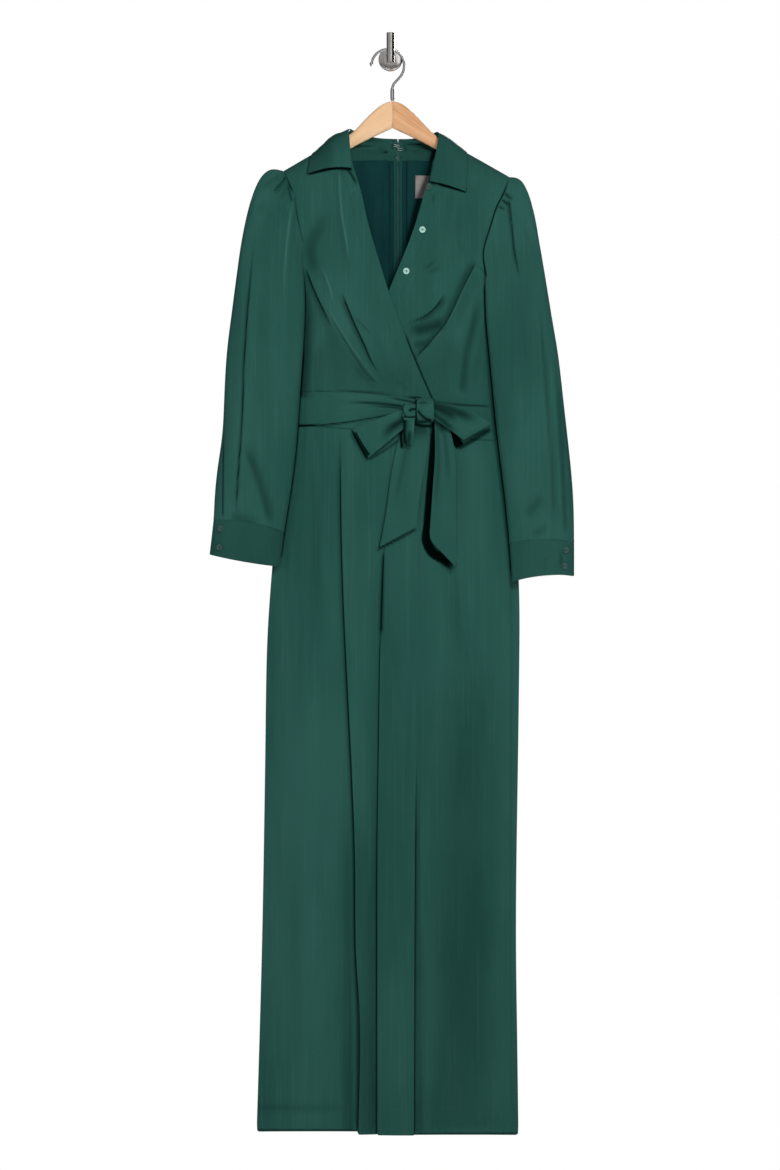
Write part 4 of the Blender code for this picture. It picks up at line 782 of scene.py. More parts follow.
def set_coordinates(mesh: Mesh, points: Array) -> None:
    """Moves the mesh's points to places in millimetres."""
    mesh.vertices.foreach_set("co", (points * MM).astype(np.float32).ravel())
    mesh.update()


def set_number(mesh: Mesh, name: str, values: Array) -> None:
    """Gives each point of a mesh a number."""
    layer = mesh.attributes.get(name) or mesh.attributes.new(name, "FLOAT", "POINT")
    layer.data.foreach_set("value", np.asarray(values, np.float32))


def dress(piece: Piece, material: Material, body: str = GARMENT) -> None:
    """Gives a piece its material and the body that it moves with.

    Args:
        piece: the piece.
        material: its finish.
        body: what it moves with.
    """
    mesh = piece.data
    mesh.materials.clear()
    mesh.materials.append(material)
    mesh.polygons.foreach_set("material_index", np.zeros(len(mesh.polygons), np.int32))
    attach(piece, body)
    log.info("%s: %d faces, %s", piece.name, len(mesh.polygons), material.name)


def hard_part(
    node: str,
    name: str,
    material: Material,
    rim: float,
    degrees: float = RIM_DEGREES,
    body: str = GARMENT,
) -> Piece:
    """Refines a plain node of wood or metal, and dresses it in the node's place.

    Args:
        node: the node.
        name: the piece's name.
        material: its finish.
        rim: how crisp its edges stay, from 0 to 1.
        degrees: the angle between faces from which an edge counts as one.
        body: the body that it moves with.

    Returns:
        The piece.
    """
    piece = refined(node, name, PLAIN_LEVELS, rim, degrees)
    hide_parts(node)
    dress(piece, material, body)
    return piece


def swell(piece: Piece, amount: float) -> None:
    """Moves every point outwards by AMOUNT millimetres."""
    set_coordinates(piece.data, coordinates(piece.data) + amount * vectors(piece.data, "normal"))


def ring_faces(rings: int, sides: int) -> list[tuple[int, ...]]:
    """The faces of a turned shape: bands between its rings, and a fan at each end.

    Args:
        rings: how many rings it has.
        sides: how many points each ring has. The middles of the two ends follow the last ring.

    Returns:
        The point numbers of each face.
    """
    first, last, final = rings * sides, rings * sides + 1, (rings - 1) * sides
    pairs = [(number, (number + 1) % sides) for number in range(sides)]
    faces = []
    for low, high in zip(range(0, final, sides), range(sides, first, sides)):
        faces += [(low + number, low + after, high + after, high + number) for number, after in pairs]
    for number, after in pairs:
        faces += [(first, after, number), (last, final + number, final + after)]
    return faces


def tube(name: str, route: Array, radius: float, sides: int) -> Piece:
    """A round tube with closed ends.

    Args:
        name: its name.
        route: its centreline in millimetres, one row a point.
        radius: its radius in millimetres.
        sides: how many sides its ring has.

    Returns:
        The tube as an object.
    """
    route = np.asarray(route, float)
    tangents = np.gradient(route, axis=0)
    tangents /= np.linalg.norm(tangents, axis=1, keepdims=True)
    side = np.cross(tangents[0], ASKEW)
    points = []
    turns = circle(sides)
    for place, tangent in zip(route, tangents):
        side = side - tangent * side.dot(tangent)
        side /= np.linalg.norm(side)
        other = np.cross(tangent, side)
        points.append(place + radius * (np.cos(turns)[:, None] * side + np.sin(turns)[:, None] * other))
    points = np.concatenate([*points, route[[0, -1]]])
    return solid(name, points, ring_faces(len(route), sides))


def solid(name: str, points: Array, faces: Sequence[Sequence[int]]) -> Piece:
    """A closed mesh from points in millimetres, with its faces turned outwards and shaded smooth.

    Args:
        name: its name.
        points: its corners.
        faces: the corners of each face.

    Returns:
        The piece.
    """
    mesh = bpy.data.meshes.new(name)
    mesh.from_pydata((np.asarray(points) * MM).tolist(), [], [list(face) for face in faces])
    shape = bmesh.new()
    shape.from_mesh(mesh)
    bmesh.ops.recalc_face_normals(shape, faces=shape.faces)
    for face in shape.faces:
        face.smooth = True
    shape.to_mesh(mesh)
    shape.free()
    return link(mesh, name)


def joined(name: str, pieces: Sequence[Piece]) -> Piece:
    """Several pieces as one.

    Args:
        name: the new piece's name.
        pieces: what it is made from.

    Returns:
        The piece.
    """
    shape = bmesh.new()
    for piece in pieces:
        shape.from_mesh(piece.data)
    mesh = bpy.data.meshes.new(name)
    shape.to_mesh(mesh)
    shape.free()
    for piece in pieces:
        bpy.data.objects.remove(piece)
    return link(mesh, name)


@dataclass(frozen=True)
class Slack:
    """Slow swells of slack cloth, one each ACROSS millimetres wide and ALONG millimetres tall."""

    height: float
    across: float
    along: float
    seed: int


class Surface:
    """A finished piece that other pieces are laid on."""

    def __init__(self, piece: Piece) -> None:
        """Reads the faces of a piece."""
        mesh = piece.data
        points = [vertex.co.copy() for vertex in mesh.vertices]
        self.tree = BVHTree.FromPolygons(points, [tuple(face.vertices) for face in mesh.polygons])

    def point(self, x: float, drop: float, face: Face = Face.FRONT, out: float = 0.0) -> Array | None:
        """The place on the surface behind (x, drop) as the face is seen, OUT millimetres off it."""
        start = Vector((x * MM, face.value * RAY_START, -drop * MM))
        spot = self.tree.ray_cast(start, Vector((0, -face.value, 0)))[0]
        if spot is None:
            return None
        return np.array(spot) / MM + (0, face.value * out, 0)

    def line(self, route: Array, face: Face = Face.FRONT, out: float = 0.0) -> Array:
        """The places on the surface along a route of (x, drop)."""
        found = [self.point(x, drop, face, out) for x, drop in route]
        return np.array([spot for spot in found if spot is not None])


class Cloth:
    """A cut piece of cloth, refined from the plain node that it stands for."""

    def __init__(
        self, node: str, levels: int = CLOTH_LEVELS, face: Face = Face.FRONT, rim: float = 0.9
    ) -> None:
        """Refines the node of this name."""
        self.node = node
        self.face = face
        self.piece = refined(node, "cloth_" + node, levels, rim)
        self.measure()

    def measure(self) -> None:
        """Reads the points, with no painted shade or painted highlight on any of them."""
        self.points = coordinates(self.piece.data)
        self.tuck = np.zeros(len(self.points))
        self.gleam = np.zeros(len(self.points))

    @property
    def x(self) -> Array:
        """Millimetres to the right."""
        return self.points[:, 0]

    @property
    def y(self) -> Array:
        """Millimetres away from the viewer."""
        return self.points[:, 1]

    @property
    def drop(self) -> Array:
        """Millimetres below the origin."""
        return -self.points[:, 2]

    def finer(self, limit: float, top: float, bottom: float) -> "Cloth":
        """Cuts the edges that are longer than LIMIT millimetres in three, between two drops.

        Args:
            limit: the length.
            top, bottom: the drops.

        Returns:
            The cloth.
        """
        shape = bmesh.new()
        shape.from_mesh(self.piece.data)
        low, high = -bottom * MM, -top * MM
        long = [
            edge
            for edge in shape.edges
            if edge.calc_length() > limit * MM and all(low < vert.co.z < high for vert in edge.verts)
        ]
        bmesh.ops.subdivide_edges(shape, edges=long, cuts=2, use_grid_fill=True)
        shape.to_mesh(self.piece.data)
        shape.free()
        self.measure()
        return self

    def close_seams(self, amount: float = 0.16) -> "Cloth":
        """Moves the rim outwards in its own plane, so that no light comes through the seams.

        Args:
            amount: how far, in millimetres.

        Returns:
            The cloth.
        """
        mesh = self.piece.data
        outward = np.zeros_like(self.points)
        for face in mesh.polygons:
            if face.material_index == 1:
                outward[list(face.vertices)] += face.normal
        length = np.linalg.norm(outward, axis=1, keepdims=True)
        self.points += amount * np.divide(outward, length, out=np.zeros_like(outward), where=length > 1e-9)
        return self

    def press(self, folds: Sequence[Fold], only: Array | None = None) -> "Cloth":
        """Presses folds into both sides of the cloth and paints their shade and highlights, where ONLY is
        given by its share there.

        Args:
            folds: the folds.
            only: a share for each point.

        Returns:
            The cloth.
        """
        x, drop = self.x.copy(), self.drop.copy()
        share = 1.0 if only is None else only
        for crease in folds:
            lift, dark = crease.press(x, drop)
            self.points[:, 1] += self.face.value * lift * share
            # The fold's painted shade and painted highlight, kept for the material.
            self.tuck = np.maximum(self.tuck, dark * share)
            self.gleam = np.maximum(self.gleam, -dark * share)
        return self

    def sway(self, slack: Slack, only: Array | float = 1.0) -> "Cloth":
        """Presses slow swells into the cloth, where ONLY is given by its share there."""
        swell = wander(self.x / slack.across + 31.7, self.drop / slack.along + 17.3, slack.seed)
        self.points[:, 1] += self.face.value * slack.height * swell * only
        return self

    def meet(self, centre: float, top: float, bottom: float) -> "Cloth":
        """Brings the edge beside x = CENTRE to it, from TOP to BOTTOM.

        Args:
            centre: the line's x.
            top, bottom: its drops.

        Returns:
            The cloth.
        """
        side = -1 if self.x.mean() < centre else 1
        levels = np.arange(top, bottom + SEAM_TAIL, SEAM_STEP)
        ends = np.full(len(levels), np.nan)
        for number, level in enumerate(levels):
            beside = self.x[abs(self.drop - level) < SEAM_STEP + 0.1]
            if len(beside):
                ends[number] = centre + side * (side * (beside - centre)).min()
        known = ~np.isnan(ends)
        if known.any():
            end = np.interp(self.drop, levels[known], ends[known])
            reach = smoothstep(top, top + SEAM_TAIL / 2, self.drop)
            reach = reach * smoothstep(bottom + SEAM_TAIL, bottom, self.drop)
            near = hill(self.x - end, SEAM_FADE)
            self.points[:, 0] += (centre + side * SEAM_GAP - end) * reach * near
        return self

    def inside(self) -> Array:
        """1 on the face that looks to the viewer and 0 on the other."""
        return smoothstep(0.1, -0.3, vectors(self.piece.data, "normal")[:, 1])

    def darken(self, share: Array | float) -> "Cloth":
        """Paints at least SHARE of shade on each point."""
        self.tuck = np.maximum(self.tuck, share)
        return self

    def push(self, amount: Array) -> "Cloth":
        """Moves the cloth out from its face by AMOUNT at each point."""
        self.points[:, 1] += self.face.value * amount
        return self

    def done(
        self,
        material: Material,
        flat: Point,
        area: float | None = None,
        held: Held = Held.HUNG,
        rests_on: Sequence[str] = (),
        slot: str = "satin",
    ) -> Piece:
        """Args:
            material: its finish.
            flat: width and length of the cut, in metres. Not used.
            area: its flat area in square metres, where it isn't a rectangle. Not used.
            held: how the cloth is held. Not used.
            rests_on: the nodes that carry it. Not used.
            slot: its material slot. Not used.

        Returns:
            The piece.
        """
        mesh = self.piece.data
        set_coordinates(mesh, self.points)
        # The painted shade and painted highlight of each point, for the material.
        set_number(mesh, "tuck", np.clip(self.tuck, 0, 1))
        set_number(mesh, "gleam", np.clip(self.gleam, 0, 1))
        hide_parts(self.node)
        dress(self.piece, material)
        return self.piece


# ---------------- sub-assemblies


def fold(
    height: float, minus: float, plus: float, *route: Point, steep: Steep = Steep.NONE, **more: float
) -> Fold:
    """A fold by its height, the widths of its two sides and its route."""
    return Fold(route, height, minus, plus, steep, **more)


def shadow(shade: float, minus: float, plus: float, *route: Point, **more: float) -> Fold:
    """A fold of no height, which only paints SHADE as a shadow into the colour."""
    return Fold(route, 0.0, minus, plus, shade=shade, **more)


def inner_edge(side: str, drops: Sequence[float]) -> tuple[Point, ...]:
    """The line on which a sleeve and its cuff end towards the middle, as seen from the front.

    Args:
        side: left or right.
        drops: the drops of the line's points.

    Returns:
        The line's points.
    """
    inward = 1 if side == "left" else -1
    starts, ends = [], []
    for node in ("sleeve_" + side, "cuff_" + side):
        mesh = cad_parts[node].data
        points = coordinates(mesh)
        pairs = np.array([tuple(edge.vertices) for edge in mesh.edges])
        starts.append(points[pairs[:, 0]])
        ends.append(points[pairs[:, 1]])
    start, end = np.concatenate(starts), np.concatenate(ends)
    route = []
    for drop in drops:
        crossing = (start[:, 2] + drop) * (end[:, 2] + drop) < 0
        low, high = start[crossing], end[crossing]
        share = (-drop - low[:, 2]) / (high[:, 2] - low[:, 2])
        route.append((inward * (inward * mix(low[:, 0], high[:, 0], share)).max(), drop))
    return tuple(route)


# A fold this low only gives its painted shade a soft edge.
SOFT_SHADE_HEIGHT = 0.001
LEFT_SLEEVE = inner_edge("left", (300, 330, 360, 400, 440, 475, 506, 540, 580, 630, 680, 720, 755))
RIGHT_SLEEVE = inner_edge("right", (330, 360, 400, 440, 480, 520, 560, 610, 660, 710, 750, 780))
# Painted shadows beside the sleeves' inner edges, on the body beneath them.
SLEEVE_SHADOWS = (
    shadow(0.92, 2, 1.9, *LEFT_SLEEVE, start=0.1, end=0.03),
    shadow(1, 2, 3, *LEFT_SLEEVE[3:7], start=0.5, end=0),
    fold(SOFT_SHADE_HEIGHT, 4, 13, *LEFT_SLEEVE[1:7], shade=0.6, start=0.4, end=0),
    shadow(1, 2, 2, *RIGHT_SLEEVE, start=0.05, end=0.03),
)
# Painted shade lines along the armhole seams.
ARMHOLE_SHADOWS = (
    shadow(0.85, 1.1, 1.1, (-161, 170), (-153, 186), (-145, 205), start=0.05),
    shadow(0.55, 0.7, 0.7, (-145, 205), (-141, 233), (-136, 255), (-131, 280), start=0.1, end=0.1),
    shadow(0.97, 1.2, 1.2, (179, 179), (171, 200), (160, 222), (150, 252), (139, 297), (143, 325),
           start=0.1, end=0),
)
# Painted shadows under the collar leaves, and painted shade in a pucker below the left one.
COLLAR_SHADOWS = (
    shadow(0.97, 4, 3.2, (-127, 173), (-101, 167), (-84, 164), (-56, 166), start=0.1, end=0.05),
    shadow(1, 4, 4.4, (56, 183), (85, 191), (115, 199.5), start=0, end=0.04),
    fold(-0.6, 2.2, 2.2, (-66, 165), (-57, 178), (-49, 194), shade=0.8, start=0.05, end=0.4),
)
# Broad painted shade on the lower bodice and the upper right of the chest.
BROAD_SHADE = (
    fold(SOFT_SHADE_HEIGHT, 45, 35, (-118, 420), (-60, 470), (10, 480), (70, 465), (112, 420), shade=0.2, start=0.1,
         end=0.1),
    fold(SOFT_SHADE_HEIGHT, 26, 26, (112, 180), (122, 260), (128, 320), shade=0.1, start=0.2, end=0.2),
)
# Painted shadow of the left front's edge on the right front.
LAP_SHADOW = shadow(0.95, 1, 2.2, (17, 404), (30, 437), (44, 470), (56, 498), (66, 520), start=0.2, end=0)
# Painted shadows of the bow's tails and loops on what lies beneath them.
BOW_SHADOWS = (
    shadow(1, 8, 7, (70, 535), (69, 550), (66.5, 585), (60.5, 656), (57, 700), (55, 726), (63, 741),
           (81, 752), (100, 766), start=0.02, end=0.06),
    shadow(0.95, 2.5, 2.5, (-58, 556), (-46, 580), (-33, 603), start=0.1, end=0.1),
    shadow(0.7, 1.6, 1.6, (-33, 603), (-5, 586), (22, 566), start=0.05, end=0.2),
    shadow(1, 6.5, 7, (70, 540), (88, 561), (105, 584), start=0.05, end=0.03),
    shadow(0.85, 3, 3.2, (105, 584), (128, 571), (151, 556), start=0, end=0.05),
    shadow(0.97, 2.6, 1.5, (18, 545), (16, 565), (18, 588), start=0.05, end=0.1),
    shadow(0.97, 2.5, 3, (34, 549), (50, 552), (68, 552), start=0.05, end=0.05),
    shadow(0.62, 1.4, 1, (25, 560), (10, 620), (-4, 680), (-17, 736), start=0.1, end=0),
    shadow(0.7, 1.2, 1.2, (-17, 736), (10, 724), (40, 707), start=0, end=0.05),
)
# Painted shadow under the sash's lower edge.
SASH_SHADOW = (
    shadow(1, 2.6, 2.6, (-139, 552), (-122, 552), (-100, 550), start=0, end=0.5),
)
NECK_SHADE = (
    shadow(0.3, 14, 14, (-72, 150), (-30, 150), (11, 150), (50, 150), (84, 150), start=0, end=0),
    shadow(0.85, 4, 4, (-4.5, 156), (-4.5, 300), (-4.5, 440), start=0, end=0),
    shadow(0.85, 4, 4, (24.5, 156), (24.5, 300), (24.5, 440), start=0, end=0),
)
# Painted shade lines at the top and bottom edges of the sash and waistband.
WAIST_SHADOWS = (
    shadow(0.8, 0.8, 0.8, (-132, 500), (-87, 499.5), (-21, 503), (26, 508), (44, 511), end=0),
    shadow(1, 1.2, 1.2, (-30, 502.5), (-5, 505), (26, 508), (44, 511), start=0.4, end=0),
    shadow(0.75, 0.9, 0.9, (68, 517), (100, 520), (142, 522), start=0, end=0),
    fold(SOFT_SHADE_HEIGHT, 2.2, 2.2, (-139, 551), (-87, 549), (-26, 538.5), (12, 533), shade=0.8, start=0, end=0.2),
)
# Painted shadow of the right front band on what lies behind it.
BAND_SHADOW = (
    shadow(0.96, 5, 3, (67, 138), (58, 176), (44.5, 209), (32, 258), (15.5, 308), (1, 345), start=0,
           end=0.05),
)
# Painted shadows under the hanger's arms.
HANGER_SHADOWS = (
    shadow(0.9, 1.2, 1.2, (-54, 134), (-38, 126), (-20, 117.5), start=0, end=0.1),
    shadow(1, 2, 2, (28, 121.5), (48, 131), (68, 141), start=0.1, end=0),
)


@dataclass
class Bodice:
    """The crossed front with its button band, and the two halves of the back."""

    hidden: float = 3.5
    front_slack: Slack = Slack(0.5, 22, 60, 3)
    back_slack: Slack = Slack(0.9, 34, 80, 5)
    back_neck: Point = (120.0, 154.0)
    left_edge: tuple[Point, ...] = (
        (-59, 150), (-55, 168), (-46, 191), (-34, 248), (-18.5, 299), (-3, 350), (16, 402), (36, 454),
        (63.5, 516),
    )
    left_folds: tuple[Fold, ...] = (
        fold(1.2, 6, 14, (-73, 350), (-56, 392), (-38, 431), (-22, 465), (-6, 482), steep=Steep.MINUS,
             groove=4.6, edge=1.1, shade=1, start=0.15, end=0.35),
        fold(1.6, 14, 3, (-104, 352), (-80, 398), (-54, 440), (-30, 471), (-8, 496), end=0.25),
        fold(0.3, 1.3, 1.3, (-101, 362), (-78, 402), (-52, 443), (-30, 472), (-13, 490), shade=-0.3,
             end=0.15),
        fold(-0.7, 1.8, 1.8, (-97, 376), (-80, 405), (-54, 448), (-32, 479), (-15, 492), shade=0.45,
             start=0.4, end=0.1),
        fold(1, 9, 16, (-128, 312), (-112, 352), (-96, 386), (-84, 412), steep=Steep.MINUS, groove=3.6,
             edge=1.1, shade=0.97, start=0.15, end=0.4),
        fold(0.3, 4, 7, (-58, 384), (-44, 397), (-33, 408), (-22, 419), steep=Steep.MINUS, groove=0.8,
             edge=0.9, shade=0.42, start=0.4, end=0.4),
        fold(2.2, 6, 9, (-104, 306), (-93, 334), (-83, 368), start=0.35, end=0.35),
        fold(2.4, 6, 11, (-77, 166), (-76, 205), (-73, 240), (-61, 304), (-49, 356), start=0.1, end=0.35),
        fold(0.3, 1.3, 1.3, (-77, 166), (-75.5, 205), (-72, 240), (-67, 270), (-60, 312), shade=-0.38,
             start=0.1),
        fold(0.3, 1.5, 1.5, (-104, 308), (-97, 328), (-89, 352), (-85, 372), shade=-0.34),
        fold(-5, 9, 9, (-92, 222), (-108, 254), (-122, 284), (-120, 312), (-114, 340), shade=0.34,
             start=0.4),
        fold(-3, 9, 14, (-132, 330), (-138, 380), (-143, 440), (-145, 500), shade=0.45, start=0.2, end=0.1),
        fold(-2.2, 9, 9, (-62, 452), (-40, 478), (-18, 492), shade=0.3, start=0.4),
        fold(-2, 8, 8, (-4, 470), (16, 490), (34, 505), shade=0.3, start=0.4),
        fold(1.1, 8, 8, (-40, 398), (-18, 442), (4, 480), (20, 505), start=0.4),
        fold(0.7, 2.2, 2.2, (-50, 195), (-56, 197), (-63, 201), shade=-0.1, start=0.2, end=0.5),
        fold(0.8, 2.2, 2.2, (-48, 204), (-55, 207), (-63, 212), start=0.2, end=0.5),
        fold(0.7, 2.2, 2.2, (-46, 213), (-52, 216), (-60, 220), start=0.2, end=0.5),
        fold(0.6, 2.5, 2.5, (-43, 224), (-49, 228), (-57, 232), start=0.2, end=0.5),
    )
    right_folds: tuple[Fold, ...] = (
        fold(1.2, 12, 7, (82, 352), (66, 374), (52, 386), (34, 394), (16, 402), steep=Steep.PLUS,
             groove=4.5, edge=1, shade=1, start=0.2, end=0.45),
        fold(1.4, 8, 12, (130, 304), (112, 340), (98, 370), (86, 394), (66, 420), (42, 446), (26, 462),
             steep=Steep.MINUS, groove=4.6, edge=1, shade=1, start=0.08, end=0.2),
        fold(0.2, 1.2, 1.2, (127, 312), (110, 345), (96, 374), (84, 399), (64, 424), (44, 448), shade=-0.26,
             end=0.2),
        fold(-4.6, 10, 10, (90, 392), (66, 402), (46, 407), (22, 408), shade=0.62),
        fold(-3, 8, 8, (64, 424), (46, 430), (30, 430), shade=0.45, start=0.4),
        fold(-3, 6, 7, (137, 352), (125, 400), (115, 440), (107, 508), shade=0.42, end=0.1),
        fold(1.4, 5, 8, (144, 360), (136, 400), (127, 445), (119, 505), end=0.2),
        fold(1.5, 8, 8, (118, 330), (102, 385), (86, 450), (76, 508), start=0.4, end=0.2),
        fold(1.5, 10, 9, (96, 196), (93, 250), (86, 300), (74, 345), end=0.4),
        fold(-1.6, 12, 12, (120, 230), (118, 280), (110, 320), shade=0.12, start=0.4, end=0.4),
        fold(0.6, 2.5, 2.5, (60, 204), (66, 201), (73, 196), end=0.5),
        fold(0.6, 2.5, 2.5, (58, 213), (65, 211), (74, 208), end=0.5),
        fold(0.7, 3, 3, (36, 346), (50, 342), (66, 334), end=0.5),
        fold(0.7, 4, 4, (55, 290), (68, 286), (84, 276), end=0.5),
        fold(-0.8, 2.4, 2.4, (46, 318), (58, 312), (70, 301), shade=0.35, start=0.4, end=0.4),
        fold(-0.8, 2.4, 2.4, (52, 322), (62, 320), (76, 312), shade=0.32, start=0.4, end=0.4),
        fold(-0.8, 2, 2, (60, 199), (64, 210), (62, 224), shade=0.35, start=0.4, end=0.4),
    )
    back_folds: tuple[Fold, ...] = (
        fold(0.8, 8, 14, (-104, 320), (-92, 380), (-80, 440), (-70, 500), steep=Steep.MINUS, groove=2.6,
             shade=0.75, end=0.05),
        fold(0.8, 8, 14, (-48, 372), (-44, 430), (-41, 498), steep=Steep.MINUS, groove=2.4, shade=0.7,
             end=0.05),
        fold(0.8, 14, 8, (122, 325), (110, 385), (98, 445), (86, 508), steep=Steep.PLUS, groove=2.6,
             shade=0.75, end=0.05),
        fold(0.8, 14, 8, (66, 378), (60, 440), (56, 508), steep=Steep.PLUS, groove=2.4, shade=0.7,
             end=0.05),
        fold(1.6, 14, 14, (-110, 190), (-104, 260), (-90, 320)),
        fold(1.6, 14, 14, (120, 200), (112, 270), (96, 330)),
        fold(1.2, 6, 6, (8, 170), (6, 260), (9, 400), start=0.1, end=0.2),
    )

    def under_lap(self, cloth: Cloth) -> None:
        """Sinks the part of the right front that lies behind the left one."""
        route = smooth_route(self.left_edge, 80)
        edge = np.interp(cloth.drop, route[:, 1], route[:, 0])
        cloth.push(-self.hidden * (1 - smoothstep(-14, -3, cloth.x - edge)))

    def make(self, finish: Wardrobe) -> None:
        """Presses the folds into each piece and gives it its finish."""
        for side, folds, flat, area, head in (
            ("left", self.left_folds, (0.215, 0.40), 0.052, (160, 182)),
            ("right", self.right_folds, (0.235, 0.41), 0.060, (177, 208)),
        ):
            front = Cloth("bodice_front_" + side).finer(2.2, *head).close_seams()
            band = Cloth("front_band_" + side).close_seams()
            # Painted shadows of the parts over the front, and on the right the painted shadow of the lap.
            folds += SLEEVE_SHADOWS + ARMHOLE_SHADOWS + COLLAR_SHADOWS + BOW_SHADOWS[3:4] + BROAD_SHADE + WAIST_SHADOWS[:3]
            if side == "right":
                folds += (LAP_SHADOW,)
            for cloth in (front, band):
                if side == "right":
                    self.under_lap(cloth)
                cloth.press(folds).sway(self.front_slack)
            arm = "hanger_arm_" + side
            front.done(finish.satin, flat, area, Held.GATHERED, ["waistband_front", arm])
            band.done(finish.satin, (0.0205, 0.385), 0.0074, Held.HUNG, ["bodice_front_" + side])
            back = Cloth("bodice_back_" + side, face=Face.BACK).close_seams()
            back.press(self.back_folds).sway(self.back_slack).meet(ZIP_X, *self.back_neck)
            # Painted shade and shadows on the inside of the back.
            back.press(NECK_SHADE + HANGER_SHADOWS + BAND_SHADOW, back.inside())
            back.done(finish.satin, (0.185, 0.41), 0.063, Held.HUNG, [arm])


@dataclass
class BackInside:
    """What shows through the open neck: the lining, the zip's tapes and the bare label."""

    lining_folds: tuple[Fold, ...] = (
        fold(0.8, 5, 8, (-30, 165), (-34, 260), (-28, 380), start=0.18, end=0.18),
        fold(0.8, 6, 6, (-58, 170), (-52, 260), (-40, 340), start=0.18, end=0.18),
        fold(-0.8, 4, 4, (-14, 180), (-13, 300), (-12, 430), start=0.18, end=0.18),
        fold(0.7, 6, 6, (34, 230), (36, 300), (40, 380), start=0.18, end=0.18),
    )
    label_middle: Point = (57.0, 193.0)
    label_half: Point = (19.0, 17.0)
    label_slack: Slack = Slack(0.5, 22, 30, 8)

    def make(self, finish: Wardrobe) -> Pieces:
        """Finishes the linings, the tapes and the label, and returns what is sewn on later.

        Args:
            finish: the materials.

        Returns:
            The tapes and the label by name.
        """
        made = {}
        for side, levels, flat, area in (
            ("left", PLAIN_LEVELS, (0.145, 0.36), 0.0450),
            ("right", CLOTH_LEVELS, (0.14, 0.365), 0.0440),
        ):
            back = ["bodice_back_" + side]
            # The lining carries the painted shadow of the front band.
            lining = Cloth("back_lining_" + side, levels).press(self.lining_folds + BAND_SHADOW)
            lining.done(finish.lining, flat, area, Held.HUNG, back, "lining")
            tape = Cloth("zip_tape_" + side, PLAIN_LEVELS)
            made["tape_" + side] = tape.done(finish.tape, (0.0136, 0.462), None, Held.HUNG, back)
        label = Cloth("neck_label", rim=1.0)
        edge = sum(
            np.minimum(abs(place - middle) / half, 1) ** 6
            for place, middle, half in zip((label.x, label.drop), self.label_middle, self.label_half)
        )
        # The label is darker towards its edges, and the front band's shadow is painted on it.
        label.darken(0.5 * np.clip(edge - 0.75, 0, 1)).press(BAND_SHADOW).sway(self.label_slack)
        made["label"] = label.done(
            finish.label, (0.040, 0.034), None, Held.HUNG, ["back_lining_right"], "label"
        )
        return made


@dataclass
class Collar:
    """The two halves of the collar: the leaf that falls and the stand inside it."""

    notch: float = 123.0
    seam_end: float = 160.0
    leaf_y: Point = (-52.0, -62.0)
    stand_y: Point = (-60.0, -52.0)
    # The x over which the painted shade of the left leaf grows, where it turns away.
    leaf_shade_x: Point = (-78.0, -96.0)
    leaf_folds: tuple[Fold, ...] = (
        fold(0.7, 10, 10, (-112, 150), (-92, 140), (-70, 136)),
        fold(0.8, 7, 9, (-82, 130), (-84, 148), (-86, 166), end=0.2),
        fold(0.7, 9, 9, (88, 135), (92, 160), (96, 188), end=0.2),
    )
    stand_folds: tuple[Fold, ...] = (
        fold(-0.9, 1.8, 1.8, (-42, 132), (-24, 138.5), (-12, 140.5), (-2, 139.5), shade=0.95, end=0.1),
        fold(-0.6, 1.4, 1.4, (-34, 121), (-18, 126), (-6, 127), (4, 125), shade=0.6),
        fold(0.7, 2, 2, (-40, 127), (-22, 132), (-8, 134)),
        fold(-0.9, 1.7, 1.7, (19, 124), (32, 131.5), (48, 142), shade=0.85, start=0.2),
        fold(-0.7, 1.5, 1.5, (17, 127), (22, 133), (25, 142), shade=0.6),
        fold(-0.7, 1.5, 1.5, (27, 122), (40, 129), (56, 137), shade=0.6),
        fold(0.6, 1.8, 1.8, (25, 131), (36, 137), (46, 143)),
        fold(-0.7, 1.6, 1.6, (2, 121), (3, 130), (2, 139), shade=0.65),
    )

    def make(self, finish: Wardrobe) -> None:
        """Finishes the leaves and the stands."""
        for side, leaf_cut, leaf_area, stand_cut, stand_area in (
            ("left", (0.075, 0.17), 0.0101, (0.026, 0.092), 0.0019),
            ("right", (0.075, 0.155), 0.0092, (0.024, 0.080), 0.0014),
        ):
            node = "collar_stand_" + side
            leaf = Cloth("collar_fall_" + side, rim=1.0)
            leaf.press(self.leaf_folds, smoothstep(*self.leaf_y, leaf.y))
            # Painted shade on the left leaf where it turns away, and lighter painted shade over the whole
            # right leaf.
            leaf.darken(0.24 * smoothstep(*self.leaf_shade_x, leaf.x)).darken(0.10 * (leaf.x > 0))
            leaf.done(finish.limp, leaf_cut, leaf_area, Held.FOLDED, [node])
            stand = Cloth(node).close_seams(0.2)
            inside = smoothstep(*self.stand_y, stand.y)
            # Painted shade on the inside of the stand, with the painted shadows of the hanger's arms.
            stand.press(self.stand_folds + HANGER_SHADOWS, inside).darken(0.12 * inside)
            stand.meet(ZIP_X, self.notch, self.seam_end)
            stand.done(finish.limp, stand_cut, stand_area, Held.STRETCHED, ["bodice_back_" + side])


